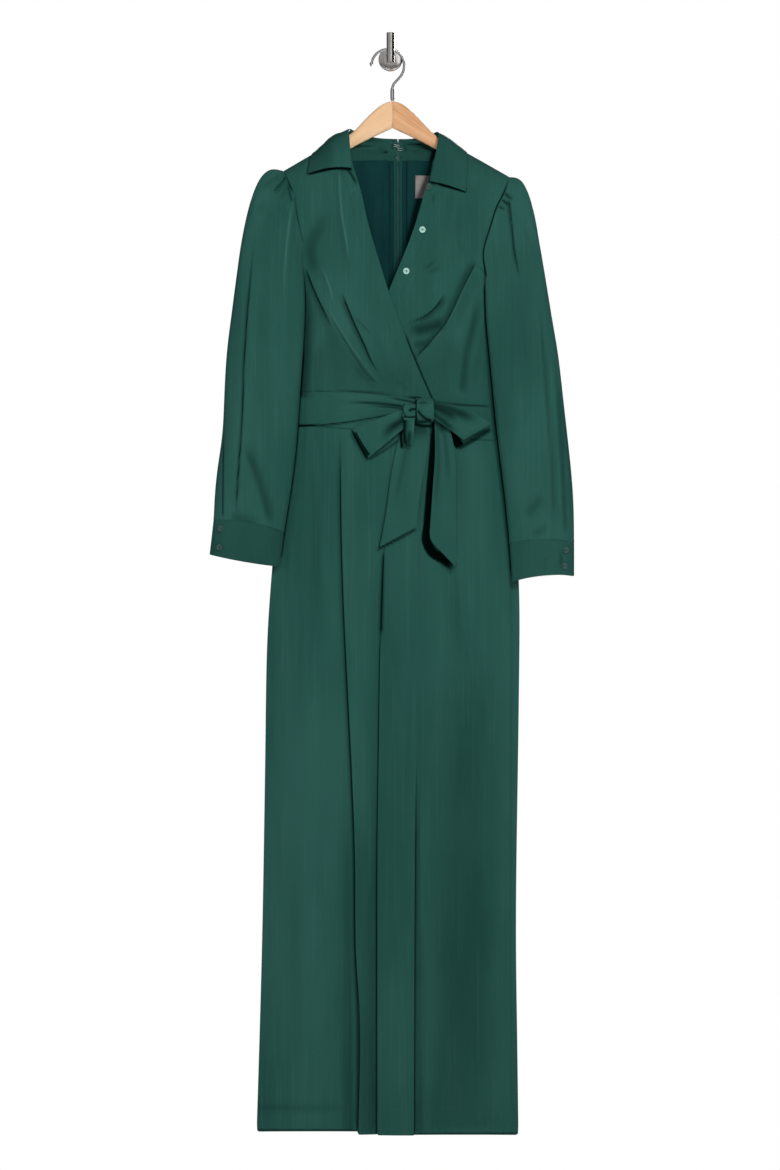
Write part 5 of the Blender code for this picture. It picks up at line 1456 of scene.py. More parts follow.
@dataclass
class Sleeves:
    """The puffed sleeves with their gathered caps, and the buttoned cuffs."""

    cap: float = 172.0
    armpit: float = 300.0
    slack: Slack = Slack(0.9, 16, 120, 11)
    front_y: Point = (-77.0, -84.0)
    head_y: Point = (-54.0, -64.0)
    seam_y: Point = (-70.0, -78.0)
    cuff_y: Point = (-76.0, -81.0)
    left_folds: tuple[Fold, ...] = (
        fold(0.8, 3.2, 10, (-203, 262), (-209, 330), (-214, 391), (-219, 471), (-221, 540), (-226, 610),
             (-231, 684), steep=Steep.MINUS, groove=2.6, edge=1.1, shade=1, start=0.28, end=0.1),
        fold(0.6, 2.6, 7, (-249, 548), (-250, 620), (-250.5, 690), steep=Steep.MINUS, groove=1.4, edge=1,
             shade=0.85, start=0.4, end=0.05),
        fold(0.3, 1.6, 1.6, (-147, 214), (-152, 250), (-158, 310), (-161, 378), shade=-0.42, start=0.2,
             end=0.5),
        fold(-2.8, 5, 9, (-222, 574), (-208, 608), (-194, 650), (-178, 706), shade=0.42, start=0.25,
             end=0.2),
        fold(1.8, 3.2, 5, (-143, 208), (-148, 250), (-155, 310), (-159, 378), start=0.2),
        fold(2, 9, 12, (-178, 250), (-182, 400), (-186, 560)),
        fold(1.4, 8, 10, (-170, 420), (-176, 560), (-184, 660), start=0.4),
        fold(1, 3.5, 6, (-158, 176), (-165, 186), (-172, 194), (-180, 204), steep=Steep.PLUS, groove=3,
             edge=1.5, shade=0.85, start=0.1, end=0.4),
        fold(1, 3, 3, (-152, 190), (-150, 202), (-146, 216), steep=Steep.MINUS, groove=1.6, shade=0.6,
             start=0.18, end=0.18),
        fold(-1.6, 3, 4, (-152, 180), (-160, 200), (-170, 216), shade=0.25, start=0.1, end=0.5),
        fold(-1.4, 3, 4, (-166, 174), (-184, 186), (-198, 198), shade=0.2, start=0.1, end=0.5),
        fold(-1.6, 5, 6, (-188, 216), (-196, 224), (-206, 226), shade=0.15, start=0.4, end=0.4),
        fold(-2, 8, 8, (-246, 686), (-220, 692), (-196, 700), shade=0.3),
    )
    right_folds: tuple[Fold, ...] = (
        fold(1.2, 4, 6, (179, 212), (183, 250), (187, 290), (192, 318), (195, 345), steep=Steep.MINUS,
             groove=3.4, edge=1.2, shade=1, start=0.05, end=0.35),
        fold(0.8, 5, 5, (163, 232), (168, 262), (172, 310), (178, 360), start=0.1, end=0.5),
        fold(0.8, 4, 4, (152, 246), (156, 275), (160, 330), start=0.1, end=0.5),
        fold(1, 3, 4, (170, 204), (176, 210), (184, 214), steep=Steep.PLUS, groove=2.2, shade=0.8,
             start=0.1),
        fold(1, 3, 4, (166, 214), (172, 219), (180, 222), steep=Steep.PLUS, groove=2.2, shade=0.8,
             start=0.1),
        fold(1, 3, 4, (161, 224), (166, 227), (172, 229), steep=Steep.PLUS, groove=1.6, shade=0.6,
             start=0.1),
        fold(SOFT_SHADE_HEIGHT, 30, 30, (196, 250), (200, 330), (206, 440), (212, 520), shade=0.13, start=0.2),
        fold(1.4, 5, 9, (212, 300), (222, 400), (229, 480), (236, 600), (240, 694), start=0.25, end=0.05),
        fold(-1.2, 4, 5, (219, 330), (230, 440), (236, 520), (243, 620), (246, 700), shade=0.22, end=0.1),
        fold(1.4, 4, 5, (240, 420), (247, 500), (253, 600), (257, 712), start=0.35, end=0.05),
        fold(-1.2, 4, 4, (246, 430), (253, 510), (259, 610), (264, 716), shade=0.22, start=0.35, end=0.05),
        fold(2, 12, 12, (178, 380), (186, 500), (196, 620)),
        fold(-2.6, 8, 8, (231, 655), (216, 672), (200, 690), shade=0.3),
        fold(-1.4, 5, 5, (236, 700), (220, 712), (206, 716), shade=0.25),
    )
    cuff_folds: tuple[Fold, ...] = (
        fold(-1, 5, 5, (-176, 718), (-178, 735), (-176, 756), shade=0.3, start=0.2, end=0.2),
        fold(0.6, 4, 4, (-236, 716), (-236, 730), (-238, 744), shade=0.25, start=0.2, end=0.2),
        fold(-1.2, 3, 4, (252, 736), (256, 750), (253, 766), shade=0.45),
        fold(-0.8, 6, 6, (238, 742), (232, 760), (234, 778), shade=0.25, start=0.2, end=0.2),
        fold(0.8, 3, 3, (250, 744), (258, 752), (262, 758), shade=0.3),
    )

    def make(self, finish: Wardrobe) -> Pieces:
        """Presses the folds into the front of each sleeve and cuff, and returns the cuffs.

        Args:
            finish: the materials.

        Returns:
            The cuffs by side.
        """
        made = {}
        # The last column is each cuff's share of painted shade.
        for side, folds, cut, area, cuff_cut, tone in (
            ("left", self.left_folds, (0.265, 0.54), 0.116, (0.245, 0.054), 0.26),
            ("right", self.right_folds, (0.255, 0.54), 0.108, (0.210, 0.054), 0.19),
        ):
            sleeve = Cloth("sleeve_" + side).close_seams(0.4)
            front = smoothstep(*self.front_y, sleeve.y) * smoothstep(0, 8, sleeve.drop - self.cap)
            front = np.maximum(front, smoothstep(*self.head_y, sleeve.y) * (sleeve.drop < self.armpit))
            sleeve.press(folds, front).sway(self.slack, front)
            # Painted shade lines along the armhole seams.
            sleeve.press(ARMHOLE_SHADOWS, smoothstep(*self.seam_y, sleeve.y))
            cuff = Cloth("cuff_" + side).close_seams()
            # Painted shade over the whole cuff, heavier on the left one.
            cuff.press(self.cuff_folds, smoothstep(*self.cuff_y, cuff.y)).darken(tone)
            bodice = ["bodice_front_" + side, "bodice_back_" + side]
            sleeve.done(finish.satin, cut, area, Held.GATHERED, bodice)
            made["cuff_" + side] = cuff.done(finish.limp, cuff_cut, None, Held.FOLDED, ["sleeve_" + side])
        return made


@dataclass
class Waist:
    """The waistband, whose upper edge slopes, and the sash that crosses it to the knot."""

    left: float = -136.0
    top: float = 500.0
    slope: float = 0.082
    height: float = 51.0
    # The width of the painted shade along the waistband's lower seam.
    seam_shade_width: float = 2.2
    sash_folds: tuple[Fold, ...] = (
        fold(1.2, 3, 4, (-120, 512), (-60, 512), (-10, 514), (24, 521), (44, 524), end=0.02),
        fold(-1.2, 1.6, 2.2, (-80, 517), (-30, 518), (8, 522), (40, 527), shade=0.75, start=0.45, end=0.02),
        fold(1.2, 3, 3.5, (-110, 528), (-50, 526), (0, 527), (40, 530), start=0.4, end=0.02),
        fold(-1, 1.4, 2.2, (-40, 522), (0, 524), (34, 529), shade=0.7, start=0.45, end=0.02),
        fold(-1, 1.4, 2, (-10, 508), (20, 514), (44, 519), shade=0.7, start=0.45, end=0.02),
        fold(1, 2.2, 2.5, (-30, 536), (10, 532), (44, 533), start=0.4, end=0.02),
        fold(0.8, 2, 2.6, (-150, 503), (-90, 505), (-20, 508), (20, 512), start=0.1, end=0.1),
    )

    def make(self, finish: Wardrobe) -> None:
        """Finishes the band and the sash.

        Args:
            finish: the materials.
        """
        front = Cloth("waistband_front").close_seams()
        seam = front.drop - (self.top + self.slope * (front.x - self.left)) - self.height
        # Painted shade along the lower seam.
        front.darken(0.35 * hill(seam, self.seam_shade_width))
        # Painted shadows of the sleeves, the bow and the sash, and shade lines at the sash's edges.
        front.press(SLEEVE_SHADOWS + BOW_SHADOWS + WAIST_SHADOWS + SASH_SHADOW)
        front.done(finish.satin, (0.33, 0.0515), None, Held.STRETCHED, ["leg_front_left"])
        for side, width in (("left", 0.169), ("right", 0.161)):
            back = Cloth("waistband_back_" + side, PLAIN_LEVELS, Face.BACK).close_seams()
            back.done(finish.satin, (width, 0.0515), None, Held.STRETCHED, ["leg_back_" + side])
        # The sash carries painted shadows of the sleeves and shade lines at its edges.
        sash = Cloth("sash").press(self.sash_folds + SLEEVE_SHADOWS + WAIST_SHADOWS[:2] + SASH_SHADOW)
        sash.done(finish.limp, (0.206, 0.050), 0.0100, Held.GATHERED, ["waistband_front", "bow_knot"])


@dataclass
class Bow:
    """The tied bow: the knot, the roll beside it, three loops and two tails."""

    knot_folds: tuple[Fold, ...] = (
        fold(0.8, 2.4, 2.4, (42, 513), (50, 511), (60, 513), shade=-0.22, start=0.2, end=0.2),
        fold(-0.8, 1.5, 1.8, (41, 519), (49, 517), (58, 519), shade=0.6, start=0.2, end=0.4),
        fold(1, 2.5, 2.5, (44, 525), (52, 529), (61, 530), start=0.2, end=0.2),
        fold(-1.4, 1.8, 2, (40, 528), (46, 536), (54, 542), (62, 545), shade=0.97, start=0.1, end=0.1),
        shadow(1, 1.3, 1.3, (38.5, 512), (38, 525), (39, 545), start=0.02, end=0.02),
        shadow(1, 1.6, 1.6, (64, 506), (66.5, 518), (67, 546), start=0.1, end=0),
    )
    roll_folds: tuple[Fold, ...] = (
        fold(0.5, 1.4, 1.4, (22, 523), (25, 518), (33, 517.5), shade=-0.25, start=0.2, end=0.2),
        fold(-1, 2.2, 2, (27, 531), (31, 527.5), (38, 527), shade=1, start=0.2, end=0),
        shadow(0.9, 0.9, 0.9, (24, 515), (19.5, 522), (19.5, 532), (24, 539), start=0.2, end=0.1),
        shadow(0.95, 1.2, 1.2, (23, 541), (30, 541), (38, 538), start=0.1, end=0),
    )
    loop_folds: tuple[Fold, ...] = (
        fold(2, 6, 8, (44, 521), (20, 531), (-6, 544), (-30, 566), start=0.1, end=0.35),
        fold(-2.6, 6, 7, (40, 531), (16, 545), (-4, 560), (-16, 580), shade=0.8, start=0.05, end=0.5),
        fold(-0.8, 1.6, 2.2, (36, 536), (14, 548), (-2, 556), shade=0.8, start=0.05, end=0.5),
        shadow(0.97, 3, 2.6, (-54.5, 561), (-43.5, 580), (-32, 597), start=0.05, end=0.05),
        fold(1.4, 4, 5, (40, 529), (16, 549), (-8, 573), start=0.2, end=0.4),
        fold(-2.6, 8, 7, (56, 520), (84, 526), (112, 536), (138, 547), shade=0.72, start=0.02, end=0.4),
        fold(SOFT_SHADE_HEIGHT, 9, 9, (66, 522), (86, 532), (108, 544), shade=0.72, start=0.05, end=0.45),
        fold(-0.8, 2, 2.4, (60, 524), (76, 528), (96, 536), shade=0.85, start=0.02, end=0.5),
        fold(2, 6, 8, (74, 534), (96, 543), (118, 552), end=0.4),
        fold(-1.8, 4, 5, (60, 531), (84, 550), (104, 568), shade=0.7, start=0.02, end=0.5),
    )
    tail_folds: tuple[Fold, ...] = (
        fold(1.6, 5, 7, (38, 552), (30, 610), (20, 690), start=0.05),
        fold(-1.2, 4, 4, (30, 550), (18, 610), (4, 690), shade=0.25, start=0.05, end=0.4),
        fold(SOFT_SHADE_HEIGHT, 14, 14, (20, 552), (36, 556), (52, 554), shade=0.55, start=0, end=0),
        fold(-1, 4, 5, (48, 552), (44, 620), (38, 690), shade=0.22, start=0.05, end=0.4),
        fold(1.2, 4, 7, (72, 536), (76, 590), (72, 660), (74, 730), start=0.05),
        fold(SOFT_SHADE_HEIGHT, 6, 12, (62, 528), (70, 545), (86, 566), shade=0.65, start=0),
        fold(-1.4, 3, 4, (76, 536), (84, 590), (86, 650), shade=0.25, start=0.05, end=0.4),
        fold(-1.4, 5, 5, (66, 545), (70, 600), (66, 680), shade=0.22, start=0.05),
    )
    small_folds: tuple[Fold, ...] = (
        fold(-1.5, 3, 5, (21, 542), (20, 560), (22, 580), shade=0.97, start=0.05, end=0.05),
        fold(SOFT_SHADE_HEIGHT, 4, 4, (29, 556), (28, 568), (26, 582), shade=0.7, end=0),
        fold(0.3, 1.6, 1.6, (34, 544), (34, 556), (32, 572), shade=-0.22, start=0.2),
        fold(0.8, 4, 4, (31, 542), (30, 558), (29, 578), start=0.1, end=0.1),
    )

    def make(self, finish: Wardrobe) -> None:
        """Finishes every piece of the bow."""
        # The left tail carries the painted shadows of the right tail, the small loop and the knot.
        left_tail = self.tail_folds[:3] + BOW_SHADOWS[:1] + BOW_SHADOWS[5:7]
        for node, folds, cut, area, held, carried in (
            ("bow_knot", self.knot_folds, (0.035, 0.055), None, Held.FOLDED, "waistband_front"),
            ("bow_roll", self.roll_folds, (0.021, 0.030), None, Held.FOLDED, "bow_knot"),
            ("bow_loop_left", self.loop_folds, (0.071, 0.105), None, Held.FOLDED, "bow_knot"),
            ("bow_loop_right", self.loop_folds, (0.063, 0.100), None, Held.FOLDED, "bow_knot"),
            ("bow_loop_small", self.small_folds, (0.035, 0.042), None, Held.FOLDED, "bow_roll"),
            ("bow_tail_left", left_tail, (0.053, 0.190), 0.0088, Held.HUNG, "bow_knot"),
            ("bow_tail_right", self.tail_folds[3:], (0.045, 0.235), 0.0080, Held.HUNG, "bow_knot"),
        ):
            cloth = Cloth(node)
            nearest, furthest = cloth.y.min(), cloth.y.max()
            front = None
            if held is Held.FOLDED:
                front = smoothstep(furthest, mix(furthest, nearest, 0.5), cloth.y)
            cloth.press(folds, front).done(finish.limp, cut, area, held, [carried])


@dataclass
class Trousers:
    """The wide legs: pressed creases, slack folds and turned-up hems."""

    hem: float = 38.0
    hem_line: float = 1.6
    hem_depth: float = 0.35
    # The share of painted shade along the turned hem.
    hem_shade: float = 0.22
    bottoms: Point = (1612.0, 1614.0)
    left_slack: Slack = Slack(1.1, 26, 260, 21)
    right_slack: Slack = Slack(1.1, 26, 260, 34)
    fine_slack: Slack = Slack(0.35, 11, 150, 42)
    crease_left: tuple[Point, ...] = (
        (-75, 556), (-73, 723), (-69, 845), (-63, 968), (-57, 1090), (-53, 1200), (-52, 1341), (-46, 1433),
        (-48, 1613),
    )
    crease_right: tuple[Point, ...] = (
        (38, 1000), (38, 1060), (37, 1150), (36, 1300), (35.5, 1450), (35, 1614),
    )
    inner_left: tuple[Point, ...] = ((-14, 862), (-17, 1060), (-19, 1200), (-19, 1614))

    def front_folds(self) -> tuple[tuple[Fold, ...], tuple[Fold, ...]]:
        """The folds of the left and the right leg's front.

        Returns:
            The left leg's and the right leg's.
        """
        left = (
            fold(0, 5, 4, *self.crease_left, steep=Steep.MINUS, groove=1.6, edge=1, shade=0.97, start=0.1,
                 end=0),
            fold(-0.8, 2, 2, *self.inner_left, shade=1, start=0.05, end=0),
            fold(-2, 3.5, 3.5, (-9, 735), (-11, 800), (-13, 870), shade=0.97, start=0.15, end=0.1),
            fold(-1.2, 14, 4, (-72, 980), (-64, 1150), (-62, 1340), (-60, 1613), shade=0.3, start=0.5,
                 end=0),
            fold(1.2, 3.5, 6, *self.crease_left, end=0),
            fold(2, 12, 12, (-128, 575), (-126, 760), (-128, 1000), (-132, 1300), start=0.15, end=0.4),
            fold(1.4, 9, 9, (-108, 575), (-104, 700), (-102, 860), start=0.1, end=0.4),
            fold(1.2, 7, 7, (-92, 575), (-90, 640), (-88, 740), start=0.1, end=0.5),
            fold(-1.4, 9, 9, (-116, 600), (-114, 760), (-115, 940), shade=0.1, start=0.2, end=0.5),
            fold(1, 8, 8, (-44, 600), (-42, 760), (-40, 900), start=0.2, end=0.5),
            fold(-1.6, 16, 16, (-150, 1100), (-150, 1300), (-152, 1560), shade=0.08, start=0.4, end=0.2),
            fold(-1.5, 10, 6, (-30, 1160), (-28, 1340), (-27, 1613), shade=0.15, start=0.4, end=0),
            fold(-1.3, 3, 3, (-36, 552), (-37, 572), (-39, 600), shade=0.1, start=0.1, end=0.6),
        )
        right = (
            fold(0, 4, 7, *self.crease_right, steep=Steep.PLUS, groove=1.6, edge=1, shade=0.9, end=0),
            fold(-1, 2.2, 2.2, (-11, 735), (-12.5, 800), (-14, 870), shade=0.9, start=0.15, end=0.1),
            fold(-1.4, 4, 16, (42, 1150), (42, 1300), (41, 1450), (41, 1614), shade=0.26, start=0.5, end=0),
            fold(1, 6, 3.5, *self.crease_right, start=0.4, end=0),
            fold(-1.5, 60, 60, (112, 830), (108, 1000), (106, 1300), (108, 1614), shade=0.3, start=0.35,
                 end=0),
            fold(2.2, 6, 9, (88, 640), (100, 770), (112, 850), (128, 925), (142, 985), (152, 1050),
                 start=0.35, end=0.4),
            fold(-1.6, 14, 8, (84, 760), (98, 860), (114, 940), (128, 1010), shade=0.1, start=0.4, end=0.5),
            fold(1.6, 12, 12, (18, 620), (20, 780), (16, 940), (14, 1140), end=0.4),
            fold(-1.2, 9, 9, (40, 600), (42, 720), (44, 880), shade=0.1, start=0.2, end=0.5),
            fold(1.6, 14, 14, (84, 1150), (88, 1300), (90, 1580), start=0.4, end=0.2),
            fold(-1.6, 16, 16, (120, 1130), (122, 1300), (124, 1560), shade=0.08, start=0.4, end=0.2),
            fold(1.3, 8, 8, (150, 620), (156, 760), (160, 900), start=0.2, end=0.4),
            fold(1.2, 8, 8, (62, 575), (60, 680), (62, 800), start=0.1, end=0.5),
            fold(0.5, 2.2, 2.2, (178, 620), (181, 900), (180, 1200), (181, 1600), shade=0.2, start=0.05,
                 end=0.05),
        )
        return left, right

    def back_folds(self) -> tuple[Fold, ...]:
        """The folds of both legs' backs."""
        return (
            fold(1.6, 9, 12, (-92, 575), (-96, 800), (-102, 1100), (-106, 1600), start=0.1, end=0.05),
            fold(1.6, 12, 9, (104, 590), (98, 800), (94, 1100), (90, 1600), start=0.1, end=0.05),
            fold(-1.6, 12, 12, (-60, 700), (-62, 900), (-66, 1200), shade=0.1, end=0.4),
            fold(-1.6, 12, 12, (60, 700), (58, 900), (56, 1200), shade=0.1, end=0.4),
            fold(1.6, 14, 14, (-140, 640), (-146, 900), (-150, 1300), end=0.4),
            fold(1.6, 14, 14, (146, 640), (150, 900), (152, 1300), end=0.4),
        )

    def make(self, finish: Wardrobe) -> Pieces:
        """Finishes the four leg pieces.

        Args:
            finish: the materials.

        Returns:
            The pieces by name.
        """
        made = {}
        left, right = self.front_folds()
        for name, folds, width, area in (
            ("front_left", left, 0.21, 0.192),
            ("front_right", right, 0.235, 0.222),
            ("back_left", self.back_folds(), 0.205, 0.188),
            ("back_right", self.back_folds(), 0.235, 0.216),
        ):
            is_front, is_left = name.startswith("front"), name.endswith("left")
            leg = Cloth("leg_" + name, face=Face.FRONT if is_front else Face.BACK)
            if is_front:
                leg.finer(4.5, 540, 795)
                # The fronts carry the painted shadows of the sleeves and the bow.
                folds += SLEEVE_SHADOWS + BOW_SHADOWS
            leg.close_seams().press(folds)
            leg.sway(self.left_slack if is_left else self.right_slack).sway(self.fine_slack)
            bottom = self.bottoms[0 if is_left else 1]
            # The turned hem sinks a little and carries painted shade.
            turned = hill(leg.drop - (bottom - self.hem), self.hem_line)
            leg.push(-self.hem_depth * turned).darken(self.hem_shade * turned)
            waist = "waistband_front" if is_front else "waistband_" + name
            made[name] = leg.done(finish.satin, (width, 1.065), area, Held.HUNG, [waist])
        return made


@dataclass
class Buttons:
    """Four-hole buttons with a rim and a dished middle, sewn on with crossed thread."""

    hole_radius: float = 0.62
    hole_offset: float = 0.95
    half_thick: float = 0.8
    twist: float = 0.35
    sides: int = 40
    profile: tuple[Point, ...] = (
        (1.9, 0.75), (2.7, 0.85), (3.3, 1.25), (3.8, 1.58), (4.25, 1.62), (4.65, 1.42), (4.88, 0.95),
        (4.80, 0.40), (4.45, 0.08), (3.6, 0.0),
    )
    nodes: tuple[str, ...] = (
        "front_button_1", "front_button_2", "front_button_3", "cuff_button_left_1", "cuff_button_left_2",
        "cuff_button_right_1", "cuff_button_right_2",
    )
    mint: tuple[str, ...] = ("front_button_2", "front_button_3")

    def blank(self) -> Piece:
        """One button on the z axis, its back at 0, with its four holes cut."""
        turns = circle(self.sides)
        points = [(r * math.cos(t), r * math.sin(t), z) for r, z in self.profile for t in turns]
        points += [(0, 0, self.profile[0][1]), (0, 0, 0)]
        button = solid("button_blank", np.array(points), ring_faces(len(self.profile), self.sides))
        drills = []
        for across, up in ((1, 1), (1, -1), (-1, 1), (-1, -1)):
            place = np.array((across, up, 0)) * self.hole_offset
            route = place + np.array([(0, 0, -1.0), (0, 0, 0.4), (0, 0, 2.4)])
            drills.append(tube("drill", route, self.hole_radius, 12))
        drill = joined("drills", drills)
        cut = button.modifiers.new("holes", "BOOLEAN")
        cut.operation, cut.solver, cut.object = "DIFFERENCE", "EXACT", drill
        made = bake(button, "button")
        bpy.data.objects.remove(drill)
        return made

    def seat(self, node: str) -> Matrix:
        """The place of a button: its back's centre, its axis towards the viewer.

        Args:
            node: the solid that stands for it.

        Returns:
            The matrix of the place.
        """
        points = coordinates(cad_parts[node].data)
        centre = (points.min(0) + points.max(0)) / 2
        axis = np.linalg.svd(points - points.mean(0))[2][2]
        axis = axis * (-1 if axis[1] > 0 else 1)
        back = centre - axis * self.half_thick
        turn = Vector((0, 0, 1)).rotation_difference(Vector(axis)).to_matrix().to_4x4()
        return Matrix.Translation(Vector(back) * MM) @ turn @ Matrix.Rotation(self.twist, 4, "Z")

    def thread(self, node: str) -> Piece:
        """Two crossed strands through the holes of a button on the z axis.

        Args:
            node: the solid whose name it bears.

        Returns:
            The strands as one piece.
        """
        strands = []
        for (x, y), rise in (((-1, -1), 1.15), ((-1, 1), 1.43)):
            x, y = x * self.hole_offset, y * self.hole_offset
            route = [(x, y, 0.3), (x, y, 0.85), (0, 0, rise), (-x, -y, 0.85), (-x, -y, 0.3)]
            strands.append(tube("strand", smooth_route(route, 13), 0.30, 6))
        return joined("thread_" + node, strands)

    def make(self, finish: Wardrobe) -> None:
        """Copies the button and its thread to each seat.

        Args:
            finish: the materials.
        """
        blank = self.blank()
        points = coordinates(blank.data)
        # Painted shade in the holes: darker near the back of the button, within 3 mm of its middle.
        edge = np.hypot(points[:, 0], points[:, 1]) < 3
        depth = 0.8 * smoothstep(0.35, 0.0, points[:, 2]) * edge
        for node in self.nodes:
            place = self.seat(node)
            piece = link(blank.data.copy(), "button_" + node)
            piece.data.transform(place)
            set_number(piece.data, "tuck", depth)
            piece.data.shade_smooth()
            piece.data.set_sharp_from_angle(angle=math.radians(38))
            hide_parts(node)
            dress(piece, finish.mint if node in self.mint else finish.dark)
            strand = self.thread(node)
            strand.data.transform(place)
            dress(strand, finish.thread)
        bpy.data.objects.remove(blank)


class RowMaker:
    """A Geometry Nodes tree that lays small parts along a line at an even pitch."""

    def __init__(self, name: str, tooth: bool, material: Material) -> None:
        """Builds the tree, for teeth or for stitches."""
        tree = bpy.data.node_groups.new(name, "GeometryNodeTree")
        self.tree = tree
        face = tree.interface
        face.new_socket(name="Line", in_out="INPUT", socket_type="NodeSocketGeometry")
        self.inputs = {}
        for label, value in (("Pitch", 0.004), ("Length", 0.002), ("Width", 0.0004), ("Depth", 0.0004)):
            socket = face.new_socket(name=label, in_out="INPUT", socket_type="NodeSocketFloat")
            socket.default_value = value
            self.inputs[label] = socket.identifier
        face.new_socket(name="Row", in_out="OUTPUT", socket_type="NodeSocketGeometry")
        rows = Nodes(tree)
        start = rows.node("NodeGroupInput")
        wide, deep, long, pitch, line = (
            rows.out(start, name) for name in ("Width", "Depth", "Length", "Pitch", "Line")
        )
        curve = rows.value("GeometryNodeMeshToCurve", {"Mesh": line})
        places = rows.node("GeometryNodeCurveToPoints", {"Curve": curve, "Length": pitch}, mode="LENGTH")
        size = rows.value("ShaderNodeCombineXYZ", {"X": wide, "Y": deep, "Z": long})
        sockets = {"Points": rows.out(places), "Rotation": rows.out(places, "Rotation")}
        if tooth:
            sockets["Instance"] = rows.value("GeometryNodeMeshCube", {"Size": size})
        else:
            ball = {"Segments": 6, "Rings": 4, "Radius": 0.5}
            sockets["Instance"] = rows.value("GeometryNodeMeshUVSphere", ball)
            sockets["Scale"] = size
        laid = rows.value("GeometryNodeInstanceOnPoints", sockets)
        real = rows.value("GeometryNodeRealizeInstances", {"Geometry": laid})
        finish = rows.node("GeometryNodeSetMaterial", {"Geometry": real})
        finish.inputs["Material"].default_value = material
        rows.node("NodeGroupOutput", {"Row": rows.out(finish)})

    def row(self, name: str, lines: Sequence[Array], sizes: Sequence[float]) -> Piece:
        """Parts along lines.

        Args:
            name: the piece's name.
            lines: the lines in millimetres, one array of points each.
            sizes: pitch, length, width and depth in millimetres.

        Returns:
            The parts as one plain mesh.
        """
        lines = [line for line in lines if len(line) > 1]
        points = np.concatenate(lines) * MM
        edges, first = [], 0
        for line in lines:
            edges += [(first + number, first + number + 1) for number in range(len(line) - 1)]
            first += len(line)
        mesh = bpy.data.meshes.new(name + "_line")
        mesh.from_pydata(points.tolist(), edges, [])
        carrier = link(mesh, name + "_line")
        layer = carrier.modifiers.new("row", "NODES")
        layer.node_group = self.tree
        for key, value in zip(self.inputs.values(), sizes):
            layer[key] = value * MM
        return bake(carrier, name)


@dataclass
class Stitching:
    """Rows of stitches on the hems, the cuffs and the label."""

    long: tuple[float, ...] = (4.2, 2.2, 0.42, 0.3)
    fine: tuple[float, ...] = (2.6, 1.9, 0.34, 0.26)
    tiny: tuple[float, ...] = (2.4, 1.7, 0.3, 0.25)
    hems: tuple[tuple[str, Face, float, float, float], ...] = (
        ("front_left", Face.FRONT, -197, -49.5, 1569),
        ("front_left", Face.FRONT, -47, -21, 1576),
        ("front_right", Face.FRONT, 37, 188, 1574),
        ("front_right", Face.FRONT, -17, 34, 1577),
        ("back_left", Face.BACK, -197, -22, 1573),
        ("back_right", Face.BACK, -15, 188, 1577),
    )
    cuffs: tuple[tuple[str, tuple[Point, ...]], ...] = (
        ("cuff_left", ((-262, 697), (-215, 701), (-164, 714))),
        ("cuff_left", ((-266, 742), (-220, 747), (-170, 759))),
        ("cuff_right", ((184, 731.5), (225, 727), (270, 730))),
        ("cuff_right", ((187, 782.5), (230, 777), (270, 774))),
    )
    label: tuple[float, float, float, float] = (38.5, 75.2, 177.5, 208.4)

    def make(self, finish: Wardrobe, legs: dict, cuffs: dict, inside: dict) -> None:
        """Lays the rows on the finished cloth.

        Args:
            finish: the materials.
            legs, cuffs, inside: the finished pieces by name.
        """
        maker = RowMaker("stitch_row", False, finish.thread)
        lines = []
        for name, face, left, right, drop in self.hems:
            x = np.linspace(left, right, max(int(abs(right - left) / 6), 6))
            lines.append(Surface(legs[name]).line(np.stack([x, np.full_like(x, drop)], -1), face, 0.05))
        dress(maker.row("hem_stitches", lines, self.long), finish.thread)
        lines = [Surface(cuffs[name]).line(smooth_route(route, 30), out=0.04) for name, route in self.cuffs]
        dress(maker.row("cuff_stitches", lines, self.fine), finish.thread)
        left, right, top, bottom = self.label
        square = [(left, top), (right, top), (right, bottom), (left, bottom), (left, top)]
        route = np.concatenate([np.linspace(a, b, 8) for a, b in zip(square, square[1:])])
        line = Surface(inside["label"]).line(route, out=0.04)
        dress(maker.row("label_stitches", [line], self.tiny), finish.thread)


